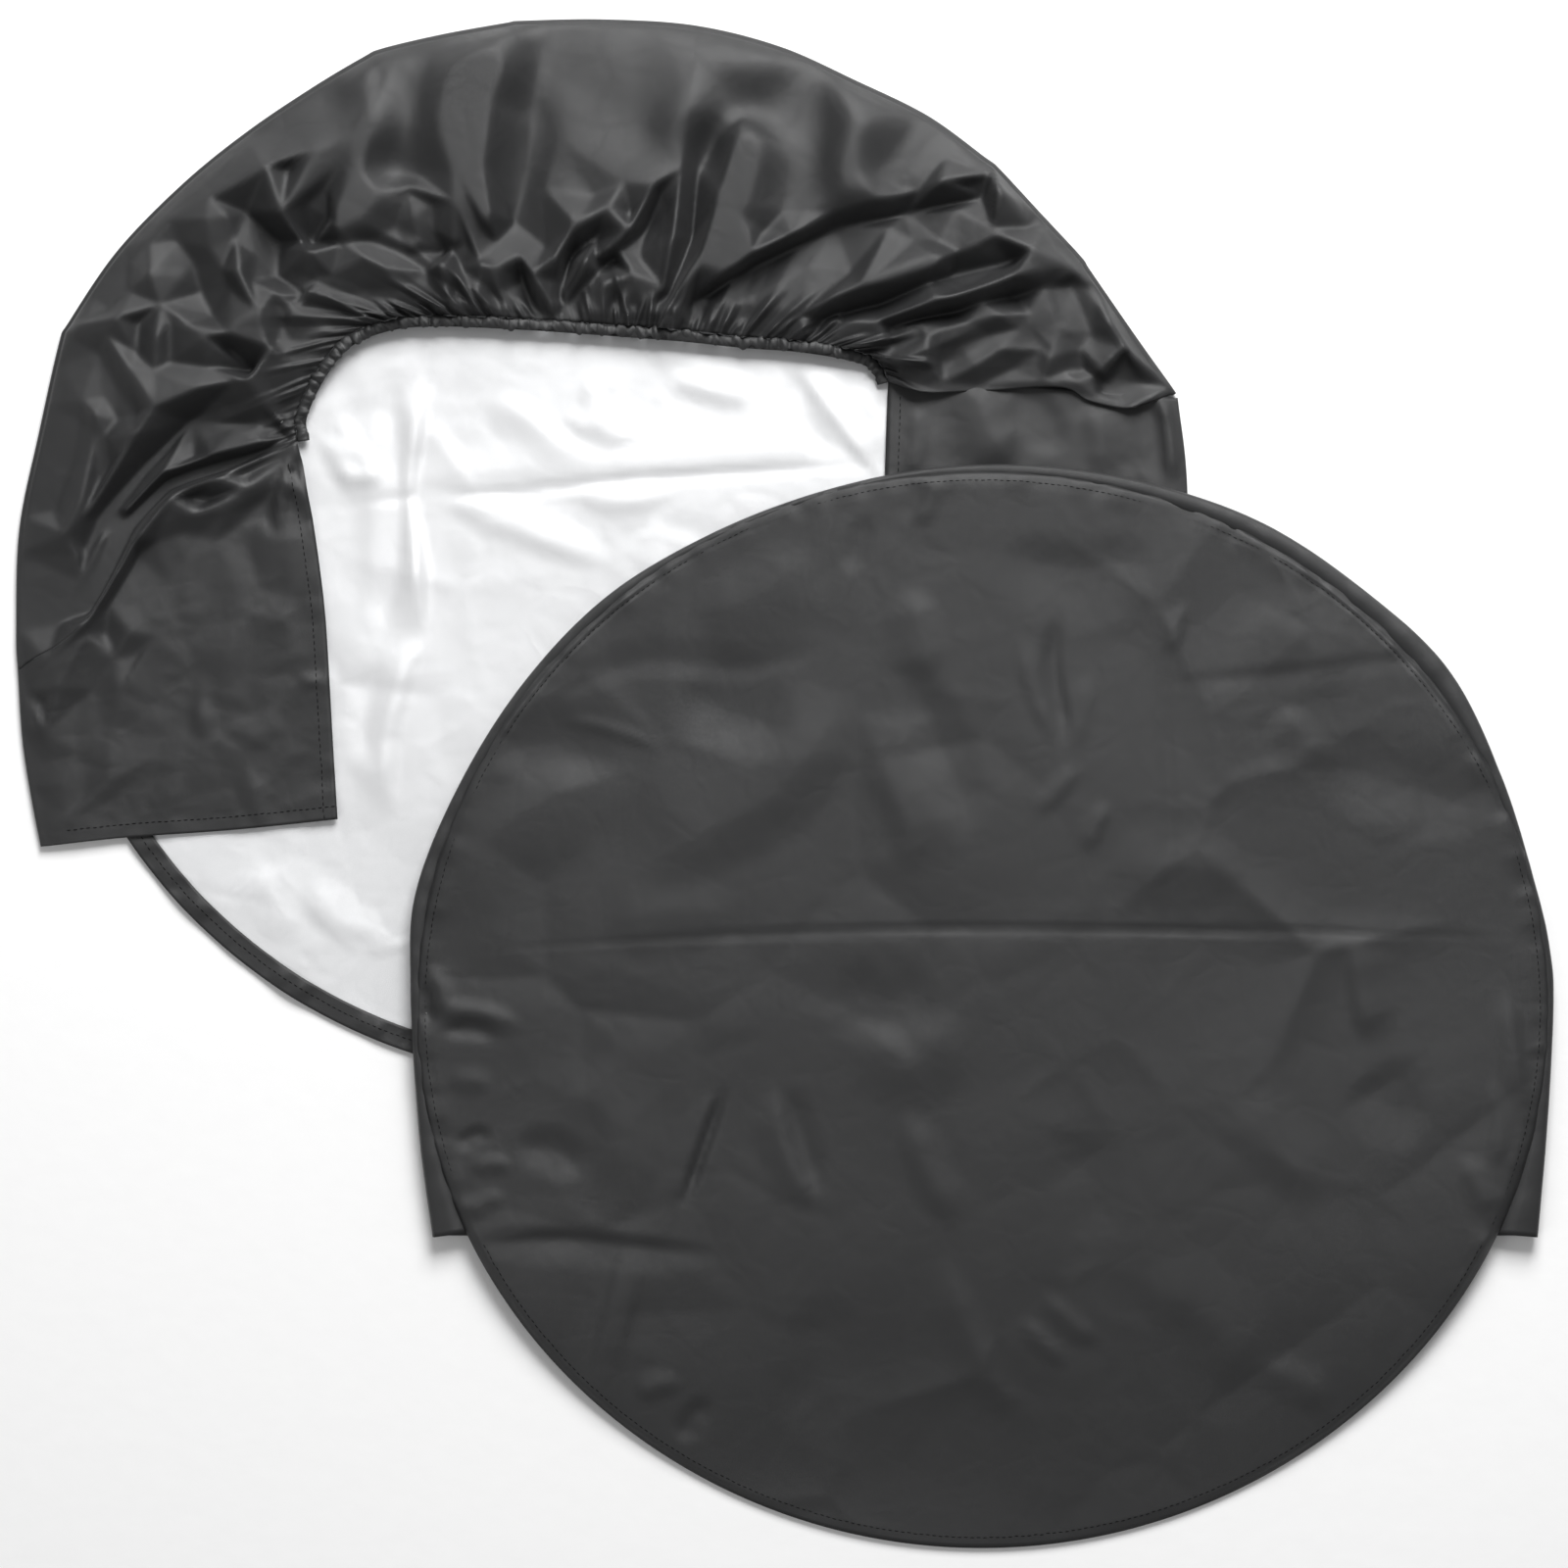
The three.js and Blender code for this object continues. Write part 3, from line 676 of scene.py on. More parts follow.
# %% Folds of the left flap, and the net
LEFT_FLAP_FOLDS = [
    (5, 9, 14, [(-317, 223), (-324, 198), (-328, 158)]),
    (3, 7, 8, [(-314, 212), (-312, 186), (-316, 160)]),
    (-3, 6, 8, [(-320, 204), (-340, 180), (-356, 168)]),
    (5, 10, 18, [(-322, 212), (-350, 192), (-384, 176), (-408, 158)]),
    (4, 10, 14, [(-334, 194), (-363, 178), (-391, 164)]),
    (6, 12, 14, [(-440, 116), (-454, 98), (-474, 62), (-480, 34)]),
    (4, 8, 10, [(-419, 115), (-426, 98), (-436, 82)]),
    (-2.5, 6, 10, [(-306, 23), (-314, 6), (-329, -16)]),
    (2.5, 8, 6, [(-379, 60), (-380, 44), (-376, 28)]),
    (2.5, 6, 7, [(-300, 66), (-308, 66), (-315, 61)]),
    (2.5, 7, 12, [(-412, 16), (-440, 2), (-466, -22)]),
    (4, 8, 9, [(-497, 52), (-486, 40), (-478, 26)]),
    (2.0, 8, 10, [(-392, 8), (-400, -8), (-404, -24)]),
    (2.0, 10, 8, [(-352, 14), (-346, -4), (-340, -24)]),
    (2.5, 10, 14, [(-350, 112), (-362, 86), (-366, 60)]),
    (2.0, 8, 9, [(-320, 130), (-326, 106), (-322, 84)]),
    (2.5, 16, 12, [(-400, 130), (-410, 96), (-432, 60), (-440, 30)]),
    (2.0, 10, 10, [(-462, 20), (-470, 0), (-470, -20)]),
    (2.2, 9, 7, [(-330, 52), (-344, 30), (-350, 22)]),
]
edge_places = np.vstack([rim(np.linspace(0, 1, 46)), elastic_edge(np.linspace(0, 1, 30)),
                         corner_ridge(1.0)[None]])
left_edge_places = line_through(LEFT_OUTLINE)(np.linspace(0, 1, 16))
band_net = net_of(BAND_FOLDS + LEFT_FLAP_FOLDS, np.vstack([edge_places, left_edge_places]))
NET_LOW, NET_HIGH = (-520, -60), (300, 520)
band_relief = net_map(band_net, NET_LOW, NET_HIGH, softenings=1)
soft_band_relief = net_map(band_net, NET_LOW, NET_HIGH, softenings=70)
print("folds placed on the band:", len(BAND_FOLDS), " flat faces between them:", len(band_net))

# %% [markdown]
# ### Pleats at the elastic
#
# Between the named folds, hundreds of small pleats start at the elastic. They come in three sizes:
# the small ones end soonest, and the bigger ones carry on between them. A seeded random generator
# spreads them, so each run gives the same cloth.

# %% Pleats
def puckers(along, pitch, seed):
    return np.array([noise.noise((value / pitch, seed, 0.5)) for value in np.atleast_1d(along)])


PLEAT_SHARPNESS = 1.4
PLEAT_LEAN, PLEAT_WANDER = 0.14, 0.22  # spread of their tilt, and of their places as a share
RUN_LENGTH, RUN_SEED = 55, 7.3  # pleats come in taller and lower runs, each about this long, mm
PLEATS = (  # spacing, shortest, longest, half width, rise
    (6.6, 9, 28, 3.2, 6.0),
    (14.0, 24, 62, 6.0, 8.0),
    (31.0, 50, 120, 13.0, 8.0),
)


def pleats_at(s, r, spread, span):
    rise = np.zeros_like(s)
    for spacing, shortest, longest, half_width, tall in PLEATS:
        random = np.random.default_rng(int(spacing * 10))
        for place in np.arange(spacing / 2, span, spacing):
            start = place + random.normal(0, spacing * PLEAT_WANDER)
            reach = random.uniform(shortest, longest)
            lean = random.normal(0, PLEAT_LEAN)
            wide = random.uniform(0.7, 1.4)
            high = random.uniform(0.5, 1.3)
            off = np.abs(s - start - lean * np.minimum(r, reach)) * spread
            q = np.clip(off / (half_width * wide * (0.75 + 0.5 * r / reach)), 0, 1)
            fade = ease((1 - r / reach) * 1.5) * (0.6 + 0.4 * ease(r / 9))
            rise += tall * high * fade * (1 - q) ** 2 * (1 + PLEAT_SHARPNESS * q)
    return rise * np.clip(0.75 + 1.1 * puckers(s, RUN_LENGTH, RUN_SEED), 0.3, 1.3)


print("sizes of pleat:", len(PLEATS))


# %% [markdown]
# ### Laying the band
#
# One rule serves every stretch of the band. The first rows lie under the rim, the next ones turn
# round it, and the rest cross to the inner edge. The two ends of a stretch may follow lines of
# their own, and the columns next to them bend to suit.

# %% Band rule
UNDER_ROWS, TURN_ROWS = 2, 7
TURN_RADIUS = 2.4
UNDER_WIDTH = 12.0
FLOOR_GAP = 0.3  # the underlay's height over what it lies on, mm


def ruled(u, v, outer, inner, first=None, last=None, reach=0.14):
    a, b = outer(u), inner(u)
    place = a + (b - a) * v[:, None]
    for edge, at, weight in ((first, 0.0, 1 - ease(u / reach)), (last, 1.0, 1 - ease((1 - u) / reach))):
        if edge is not None:
            c, d = outer(at), inner(at)
            place = place + weight[:, None] * (edge(v) - (c + (d - c) * v[:, None]))
    return place


def turn_under(u, v, rows, outer, top, height):
    """Points of a layer that starts under its outer line, turns round it and carries on on top."""
    row = np.round(v * rows)
    out = -left_of(outer, u)
    share = np.clip((row - UNDER_ROWS - TURN_ROWS) / (rows - UNDER_ROWS - TURN_ROWS), 0, 1)
    plan = top(u, share)
    z = height(u, share, plan)
    turning = row < UNDER_ROWS + TURN_ROWS
    angle = (np.clip(row - UNDER_ROWS, 0, TURN_ROWS) / TURN_ROWS - 0.5) * math.pi
    half = np.maximum((z - FLOOR_GAP) / 2, 0.4)
    bulge = np.minimum(half, TURN_RADIUS)
    start = plan[turning] + out[turning] * (bulge * (np.cos(angle) - 1))[turning, None]
    under = (UNDER_ROWS - np.minimum(row, UNDER_ROWS)) / UNDER_ROWS * UNDER_WIDTH
    start = start - out[turning] * under[turning, None]
    plan = plan.copy()
    plan[turning] = start
    inset = bulge * ease(1 - share * 40)
    plan[~turning] = plan[~turning] - (out * inset[:, None])[~turning]
    z = np.where(turning, FLOOR_GAP + half + half * np.sin(angle), z)
    return np.column_stack([plan, z])


print("rows that turn round the rim:", TURN_ROWS)


# %% Lower gathered band
BAND_LEVEL = 5.2
CASING_LEVEL = 11.0
LOWER_TOP = 31.0  # the highest that a fold may reach
ELASTIC_SPAN = elastic_edge.length
RELIEF = 2.0  # the net's heights are multiplied by this
HUMP = 11.0  # the band's rise between the rim and the elastic
ROLL_RISE = 4.0  # and the rise of the rolled edge at its right end
NEAR_RIM, NEAR_ELASTIC = 0.28, 0.72  # share of relief kept at the rim, and lost at the elastic


def band_top(u, v):
    return ruled(u, v, rim, elastic_edge, rolled_edge, corner_ridge)


def band_height(u, v, plan):
    x, y = plan[:, 0], plan[:, 1]
    outer, inner = rim(u), elastic_edge(u)
    rib = np.linalg.norm(outer - inner, axis=1)
    r = (1 - v) * rib
    spread = 1 + (rim.length / ELASTIC_SPAN - 1) * (1 - v)
    ends = ease(u / 0.10) * ease((1 - u) / 0.16)
    hump = np.sin(math.pi * np.clip(v, 0, 1) ** 0.62)
    base = BAND_LEVEL + ends * (HUMP * hump + (CASING_LEVEL - BAND_LEVEL) * ease(v)) \
        + ROLL_RISE * (1 - ease(u / 0.05)) * ease((v - 0.02) * 12)
    near = ease(v * rib / 12) * (1 - NEAR_RIM) + NEAR_RIM
    stay = 1 - NEAR_ELASTIC * ease((v * rib - rib + 8) / 8)
    crumpled = 1.8 * facets_at(x, y, 80, 2.0) + 0.8 * facets_at(x, y, 30, 6.0)
    smooth = 0.9 * ease((u - 0.16) / 0.08) * ease((0.66 - u) / 0.06) * ease((0.82 - v) / 0.5)
    sharp = band_relief(x, y) * (1 - smooth) + 1.25 * soft_band_relief(x, y) * smooth
    relief = RELIEF * sharp + crumpled * (1 - 0.7 * smooth)
    pleated = pleats_at(u * ELASTIC_SPAN, r, spread, ELASTIC_SPAN) * (0.35 + 0.65 * ease(u / 0.04))
    z = base + near * stay * relief + pleated * 0.9 - 1.2
    return LOWER_TOP - soft_floor(LOWER_TOP - soft_floor(z, 3.0), 0)


def soft_floor(z, level, blend=2.0):
    """The height, kept above a level without a sharp corner where it meets it."""
    over = z - level
    return level + (over + np.sqrt(over * over + blend * blend)) / 2


BAND_COLUMNS, BAND_ROWS = 540, 90


def lay_band(u, v):
    return turn_under(u, v, BAND_ROWS, rim, band_top, band_height)


# The strip is 0.254 m deep. The last 20 mm are turned over the elastic and are the casing, below.
BAND_SIZE = (1.12, 0.234)
lower_band = sheet_of(
    "lower_band", BAND_COLUMNS, BAND_ROWS, lay_band, [black, silver], BAND_SIZE, "lower_cover",
    ["lower_band_underlay", "lower_band_fold", "lower_right_shoulder", "lower_crown",
     "lower_left_shoulder"])

# %% [markdown]
# ## The lower cover's flaps
#
# Past the elastic, the band's two ends lie over the panel as plain flaps. The left one is in full
# view: fans of short creases spread from the knot where the elastic ends, and its side and end
# have stitched hems. Its free corner can be turned back along a crease from the knot to the end of
# the rim; here its sheet is one piece, attached to neither body. The right flap lies under the rolled
# shoulder and under the second cover.

# %% Lower flaps
LEFT_RIM = [(-500, 75), (-497, 29), (-491, -10), (-485, -41)]
LEFT_EDGE = [(-317, 223), (-313, 205), (-306, 165), (-300, 120), (-297, 80), (-294, 25), (-291, -23)]
LEFT_END = [(-485, -41), (-430, -35), (-360, -30), (-291, -23)]
RIGHT_RIM = [(265, 3), (264, 112), (263, 198), (257, 252)]
RIGHT_EDGE = [(61, 12), (64, 120), (66, 210), (68, 268)]

left_rim, left_edge, left_end = (line_through(p) for p in (LEFT_RIM, LEFT_EDGE, LEFT_END))
right_rim, right_edge = line_through(RIGHT_RIM), line_through(RIGHT_EDGE)
FLAP_LEVEL = 5.0

RIGHT_FLAP_FOLDS = [
    (5, 16, 26, [(106, 262), (126, 250), (134, 230), (150, 204)]),
    (-3, 12, 18, [(150, 258), (168, 240), (182, 214)]),
    (5, 10, 8, [(240, 258), (250, 236), (254, 196)]),
    (-4, 9, 12, [(226, 252), (240, 236), (244, 198)]),
    (2, 8, 8, [(84, 250), (88, 226), (82, 200)]),
    (2, 14, 10, [(196, 250), (206, 226), (204, 200)]),
]


def flap_height(x, y, folds, seed):
    crumpled = 2.2 * facets_at(x, y, 44, seed) + 1.2 * facets_at(x, y, 19, seed + 2)
    return soft_floor(FLAP_LEVEL + folds_at(x, y, folds) + crumpled, 3.4, 1.0)


def left_flap_height(x, y):
    crumpled = 1.8 * facets_at(x, y, 44, 12.0) + 1.0 * facets_at(x, y, 19, 14.0)
    from_corner = ((x + 500) * 148 - (y - 75) * 183) / 235
    relief = 1.3 + (RELIEF - 1.3) * ease(1 - from_corner / 60)
    return soft_floor(FLAP_LEVEL + relief * band_relief(x, y) + crumpled, 3.4, 1.0)


def lay_left_flap(u, v):
    def top(u, share):
        return ruled(u, share, left_rim, left_edge, corner_ridge, left_end, 0.5)

    def height(u, share, plan):
        near = ease(share * 14) * 0.7 + 0.3
        return 4 + (left_flap_height(plan[:, 0], plan[:, 1]) - 4) * near

    return turn_under(u, v, 76, left_rim, top, height)


def lay_right_flap(u, v):
    def height(u, share, plan):
        near = ease(share * 14) * 0.7 + 0.3
        return 3 + (flap_height(plan[:, 0], plan[:, 1], RIGHT_FLAP_FOLDS, 20.0) - 3) * near

    return turn_under(u, v, 66, right_rim, lambda u, share: ruled(u, share, right_rim, right_edge), height)


LEFT_FLAP_SIZE = (0.18, 0.234)
RIGHT_FLAP_SIZE = (0.26, 0.234)
left_flap = sheet_of("lower_left_flap_cloth", 110, 76, lay_left_flap, [black, silver], LEFT_FLAP_SIZE,
                     None, ["lower_left_flap", "lower_left_flap_corner"])
right_flap = sheet_of("lower_right_flap_cloth", 90, 66, lay_right_flap, [black, silver],
                      RIGHT_FLAP_SIZE, "lower_cover", ["lower_right_flap"])

# %% [markdown]
# A piece that crosses the corner crease is not blended: its place is baked into its points, and it
# is attached to neither body.

# %% Bake the pieces at the corner crease
corner_joint = next(j for j in frame["joints"] if j["name"] == "flap_corner_turn")
print("corner joint:", {k: corner_joint[k] for k in list(corner_joint)[:6]})


def bend_at_corner(piece):
    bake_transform(piece)


bend_at_corner(left_flap)

# %% [markdown]
# ## Strips, hems and rows of stitches
#
# A hem is a narrow strip that follows an edge. A row of stitches is a chain of short thread
# dashes that dip into the cloth at both ends, each a stretched icosphere, which is the cheapest
# rounded shape there is.

# %% Strips and stitches
STITCH_PITCH, STITCH_LENGTH, STITCH_WIDTH = 4.2, 3.1, 0.55


def strip_of(name, line, offsets, height, look, nodes, body, columns=240, rows=3,
             lining=None, thick=CLOTH):
    width = abs(offsets[1] - offsets[0])

    def lay(u, v):
        offset = offsets[0] + (offsets[1] - offsets[0]) * v
        plan = line(u)[:, :2] + left_of(line, u) * offset[:, None]
        return np.column_stack([plan, height(u, offset, plan)])

    piece = sheet_of(name, columns, rows, lay, [look] + ([lining] if lining else []),
                     (line.length * MM, width * MM), body, nodes, thick)
    # The flat width, at least 10 mm, and the strip's area are worked out here but not used. A
    # sheet's flat width is given as 10 mm at least.
    max(width * MM, 0.01)
    line.length * width * MM * MM
    return piece


print("stitch pitch, mm:", STITCH_PITCH)

# %% [markdown]
# A row of stitches is a chain of small pressed beads, each turned along the line. Their places
# wander by a tenth of a millimetre or so, as sewn ones do.


# %% Stitch helper
def stitches_of(name, line, offset, height, nodes, body, lift=0.1):
    count = int(line.length / STITCH_PITCH)
    random = np.random.default_rng(count)
    u = (np.arange(count) + 0.5) / count
    half = STITCH_LENGTH / 2 / line.length
    wander = offset + random.normal(0, 0.12, count)
    places = []
    for share in (u - half, u, u + half):
        share = np.clip(share, 0, 1)
        plan = line(share)[:, :2] + left_of(line, share) * wander[:, None]
        places.append(np.column_stack([plan, height(share, wander, plan)]))
    before, middle, after = places
    chain = bmesh.new()
    for a, b, c in zip(before, middle, after):
        along = Vector(c - a)
        turn = along.to_track_quat("X", "Z").to_matrix().to_4x4()
        size = Matrix.Diagonal((along.length, STITCH_WIDTH, STITCH_WIDTH * 0.8, 1))
        centre = Matrix.Translation((Vector(b) + Vector((0, 0, lift))) * MM)
        bmesh.ops.create_icosphere(chain, subdivisions=1, radius=0.5,
                                   matrix=centre @ turn @ Matrix.Scale(MM, 4) @ size)
    mesh = bpy.data.meshes.new(name)
    chain.to_mesh(mesh)
    chain.free()
    mesh.shade_smooth()
    mesh.materials.append(thread)
    piece = bpy.data.objects.new(name, mesh)
    bpy.context.collection.objects.link(piece)
    if body:
        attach(piece, body)
    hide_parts(*nodes)
    print(f"{name}: {count} stitches")
    return piece


# %% [markdown]
# The panels' seams and hems follow arcs of their own ellipses.


# %% Arc helper
def arc_line(centre, radii, from_degrees, to_degrees, steps=40):
    angle = np.radians(np.linspace(from_degrees, to_degrees, steps))
    depth = np.where(np.sin(angle) > 0, radii[1], radii[2])
    return line_through(np.stack([centre[0] + radii[0] * np.cos(angle),
                                  centre[1] + depth * np.sin(angle)], -1))


print("arc through half an ellipse, mm:",
      round(arc_line(LOWER_CENTRE, LOWER_RADII, 0, 180).length))

# %% [markdown]
# ### Trim of the lower cover
#
# The panel's free front edge has a black hem that the thread pulls into small puckers. The seam
# allowance and the seam's own stitches are hidden under the band, but they are there.

# %% Lower trim
HEM_WIDTH = 14.0


def lower_hem_height(u, offset, plan):
    base = lower_panel_height(plan[:, 0], plan[:, 1])
    across = np.sin(math.pi * np.clip(offset / HEM_WIDTH, 0, 1))
    puckered = 2.4 * puckers(u * lower_hem_line.length, 9, 1.7) * across
    slow = 1.8 * puckers(u * lower_hem_line.length, 34, 5.1)
    return np.maximum(base, 1.2) + 1.2 + np.maximum(puckered + slow, -0.6)


lower_hem_line = arc_line(LOWER_CENTRE, LOWER_RADII, 212, 336)
lower_seam_line = arc_line(LOWER_CENTRE, LOWER_RADII, -24, 212)
strip_of("lower_panel_hem_cloth", lower_hem_line, (-0.6, HEM_WIDTH), lower_hem_height, black,
         ["lower_panel_hem"], "lower_cover", 360, 8)
stitches_of("lower_hem_thread", lower_hem_line, 7.2, lower_hem_height, ["lower_hem_stitches"],
            "lower_cover")


def on_lower_panel(lift):
    return lambda u, offset, plan: lower_panel_height(plan[:, 0], plan[:, 1]) + lift


strip_of("lower_allowance", lower_seam_line, (1, 8), on_lower_panel(0.9), silver,
         ["lower_seam_allowance"], "lower_cover", 240, 3)
stitches_of("lower_seam_thread", lower_seam_line, 0.4, on_lower_panel(0.4), ["lower_seam_stitches"],
            "lower_cover")
stitches_of("lower_top_thread", lower_seam_line, 6.3, on_lower_panel(1.2), ["lower_topstitching"],
            "lower_cover")

# %% [markdown]
# ### Hems of the lower flaps
#
# These hems are turned under, so only their stitches show from above. The faint step in the cloth
# where the second layer ends is not modelled.

# %% Flap hems
EDGE_HEM = 9.0


def on_left_flap(lift):
    return lambda u, offset, plan: left_flap_height(plan[:, 0], plan[:, 1]) + lift


def on_right_flap(lift):
    return lambda u, offset, plan: flap_height(plan[:, 0], plan[:, 1], RIGHT_FLAP_FOLDS, 20.0) + lift


def part_of(points, trim_start=0.0, trim_end=0.0):
    """A line through points, shortened by lengths in millimetres at its two ends."""
    whole = line_through(points)
    share = np.linspace(trim_start / whole.length, 1 - trim_end / whole.length, 24)
    return line_through(whole(share))


left_side, left_end_edge = part_of(LEFT_EDGE, 12, 0), part_of(LEFT_END, 18, 0)
right_side = part_of(RIGHT_EDGE, 0, 14)
right_end_edge = part_of([RIGHT_EDGE[0], RIGHT_RIM[0]])
FLAP_TRIM = (  # name, line, offsets of the hem, row of stitches, height rule, joint
    ("lower_left_flap_side", left_side, (-EDGE_HEM, -0.5), -8.6, on_left_flap, True),
    ("lower_left_flap_end", left_end_edge, (0.5, EDGE_HEM), 8.6, on_left_flap, True),
    ("lower_right_flap_side", right_side, (-EDGE_HEM, -0.5), -8.6, on_right_flap, False),
    ("lower_right_flap_end", right_end_edge, (0.5, EDGE_HEM), 8.6, on_right_flap, False),
)
for name, line, offsets, row, on_flap, turns in FLAP_TRIM:
    body = None if turns else "lower_cover"
    hem = strip_of(f"{name}_hem_cloth", line, offsets, on_flap(-CLOTH - 0.15), black,
                   [f"{name}_hem"], body, 120, 4)
    row_of_thread = stitches_of(f"{name}_thread", line, row, on_flap(0.12),
                                [f"{name}_stitches"], body)
    if turns:
        bend_at_corner(hem)
        bend_at_corner(row_of_thread)

# %% [markdown]
# ## Elastic in its casing
#
# The band's gathered edge is turned over the elastic and stitched down. The elastic shortens it
# to less than half, so the casing bunches into beads, one for each small pleat. It is a tube whose
# width, height and side-to-side place change from bead to bead.

# %% Casing helper
TUBE_SIDES = 14
CASING_SEED = 75


def beads_along(s, spacing, span, seed):
    random = np.random.default_rng(seed)
    places = np.arange(spacing / 2, span, spacing)
    places = places + random.normal(0, spacing * 0.2, len(places))
    size = random.uniform(0.35, 1.3, len(places))
    off = np.abs(s[:, None] - places[None]) / (spacing * 0.62)
    return ((1 - np.clip(off, 0, 1) ** 2) * size).max(1)


def tube_of(name, line, width, level, columns, look, node, bead=None, shift=0.0):
    def lay(u, v):
        angle = v * math.tau
        s = u * line.length
        swell = np.ones_like(u) if bead is None else beads_along(s, bead, line.length, CASING_SEED)
        swell = swell + (0 if bead is None else 0.35 * puckers(s, 2.6, 1.1))
        shake = np.zeros_like(u) if bead is None else puckers(s, 5.2, 3.3)
        twist = np.zeros_like(u) if bead is None else puckers(s, 7.0, 8.8)
        half_width = width / 2 * (0.72 + 0.38 * swell)
        half_height = (0.8 + 1.5 * swell) if bead else 0.5
        rings = 0.6 * puckers(s + 3 * np.cos(angle), 2.1, 6.1) if bead else 0
        across = half_width * np.cos(angle) + shift + 1.9 * shake
        rise = half_height * np.sin(angle + 0.7 * twist)
        plan = line(u)[:, :2] + left_of(line, u) * (across + rings)[:, None]
        return np.column_stack([plan, level(u) + rise + 0.8 * twist + rings])

    piece = sheet_of(name, columns, TUBE_SIDES, lay, [look], (line.length * MM, width * 2 * MM),
                     "lower_cover" if name.startswith("lower") else "upper_cover", [node], 0)
    tube = bmesh.new()
    tube.from_mesh(piece.data)
    bmesh.ops.remove_doubles(tube, verts=tube.verts, dist=1e-6)
    ends = [edge for edge in tube.edges if edge.is_boundary]
    bmesh.ops.holes_fill(tube, edges=ends)
    bmesh.ops.recalc_face_normals(tube, faces=tube.faces)
    tube.to_mesh(piece.data)
    tube.free()
    piece.data.shade_smooth()
    print(f"{name}: {round(line.length)} mm long, closed at both ends")


# %% Lower casing and elastic
def lower_casing_level(u):
    return 6.4 + (CASING_LEVEL - 6.4) * ease(u / 0.12) * ease((1 - u) / 0.12)


tube_of("lower_casing_cloth", elastic_edge, 7.4, lower_casing_level, 900, black,
                       "lower_casing", 6.3, 3.4)
tube_of("lower_elastic_band", elastic_edge, 6.0, lambda u: lower_casing_level(u) - 0.2,
                        220, elastic, "lower_elastic", None, 4.0)

# %% [markdown]
# ## The upper cover's panel
#
# The second cover lies face up on the first. Its panel is almost flat, so its shape shows only in
# wide, low facets, a crease from the packet and a few sharp pinches near the seam. In front of the
# band's ends the panel is a free skirt, which can be turned up and back over it.

# %% Folds of the upper panel
UPPER_CENTRE = np.array([129.0, -146.6])
UPPER_RADII = (368.5, 350.0, 352.0)
UPPER_LEVEL, UPPER_TILT = 16.6, 0.01396
SKIRT_LINE = -296.6
SKIRT_DROP = 8.9

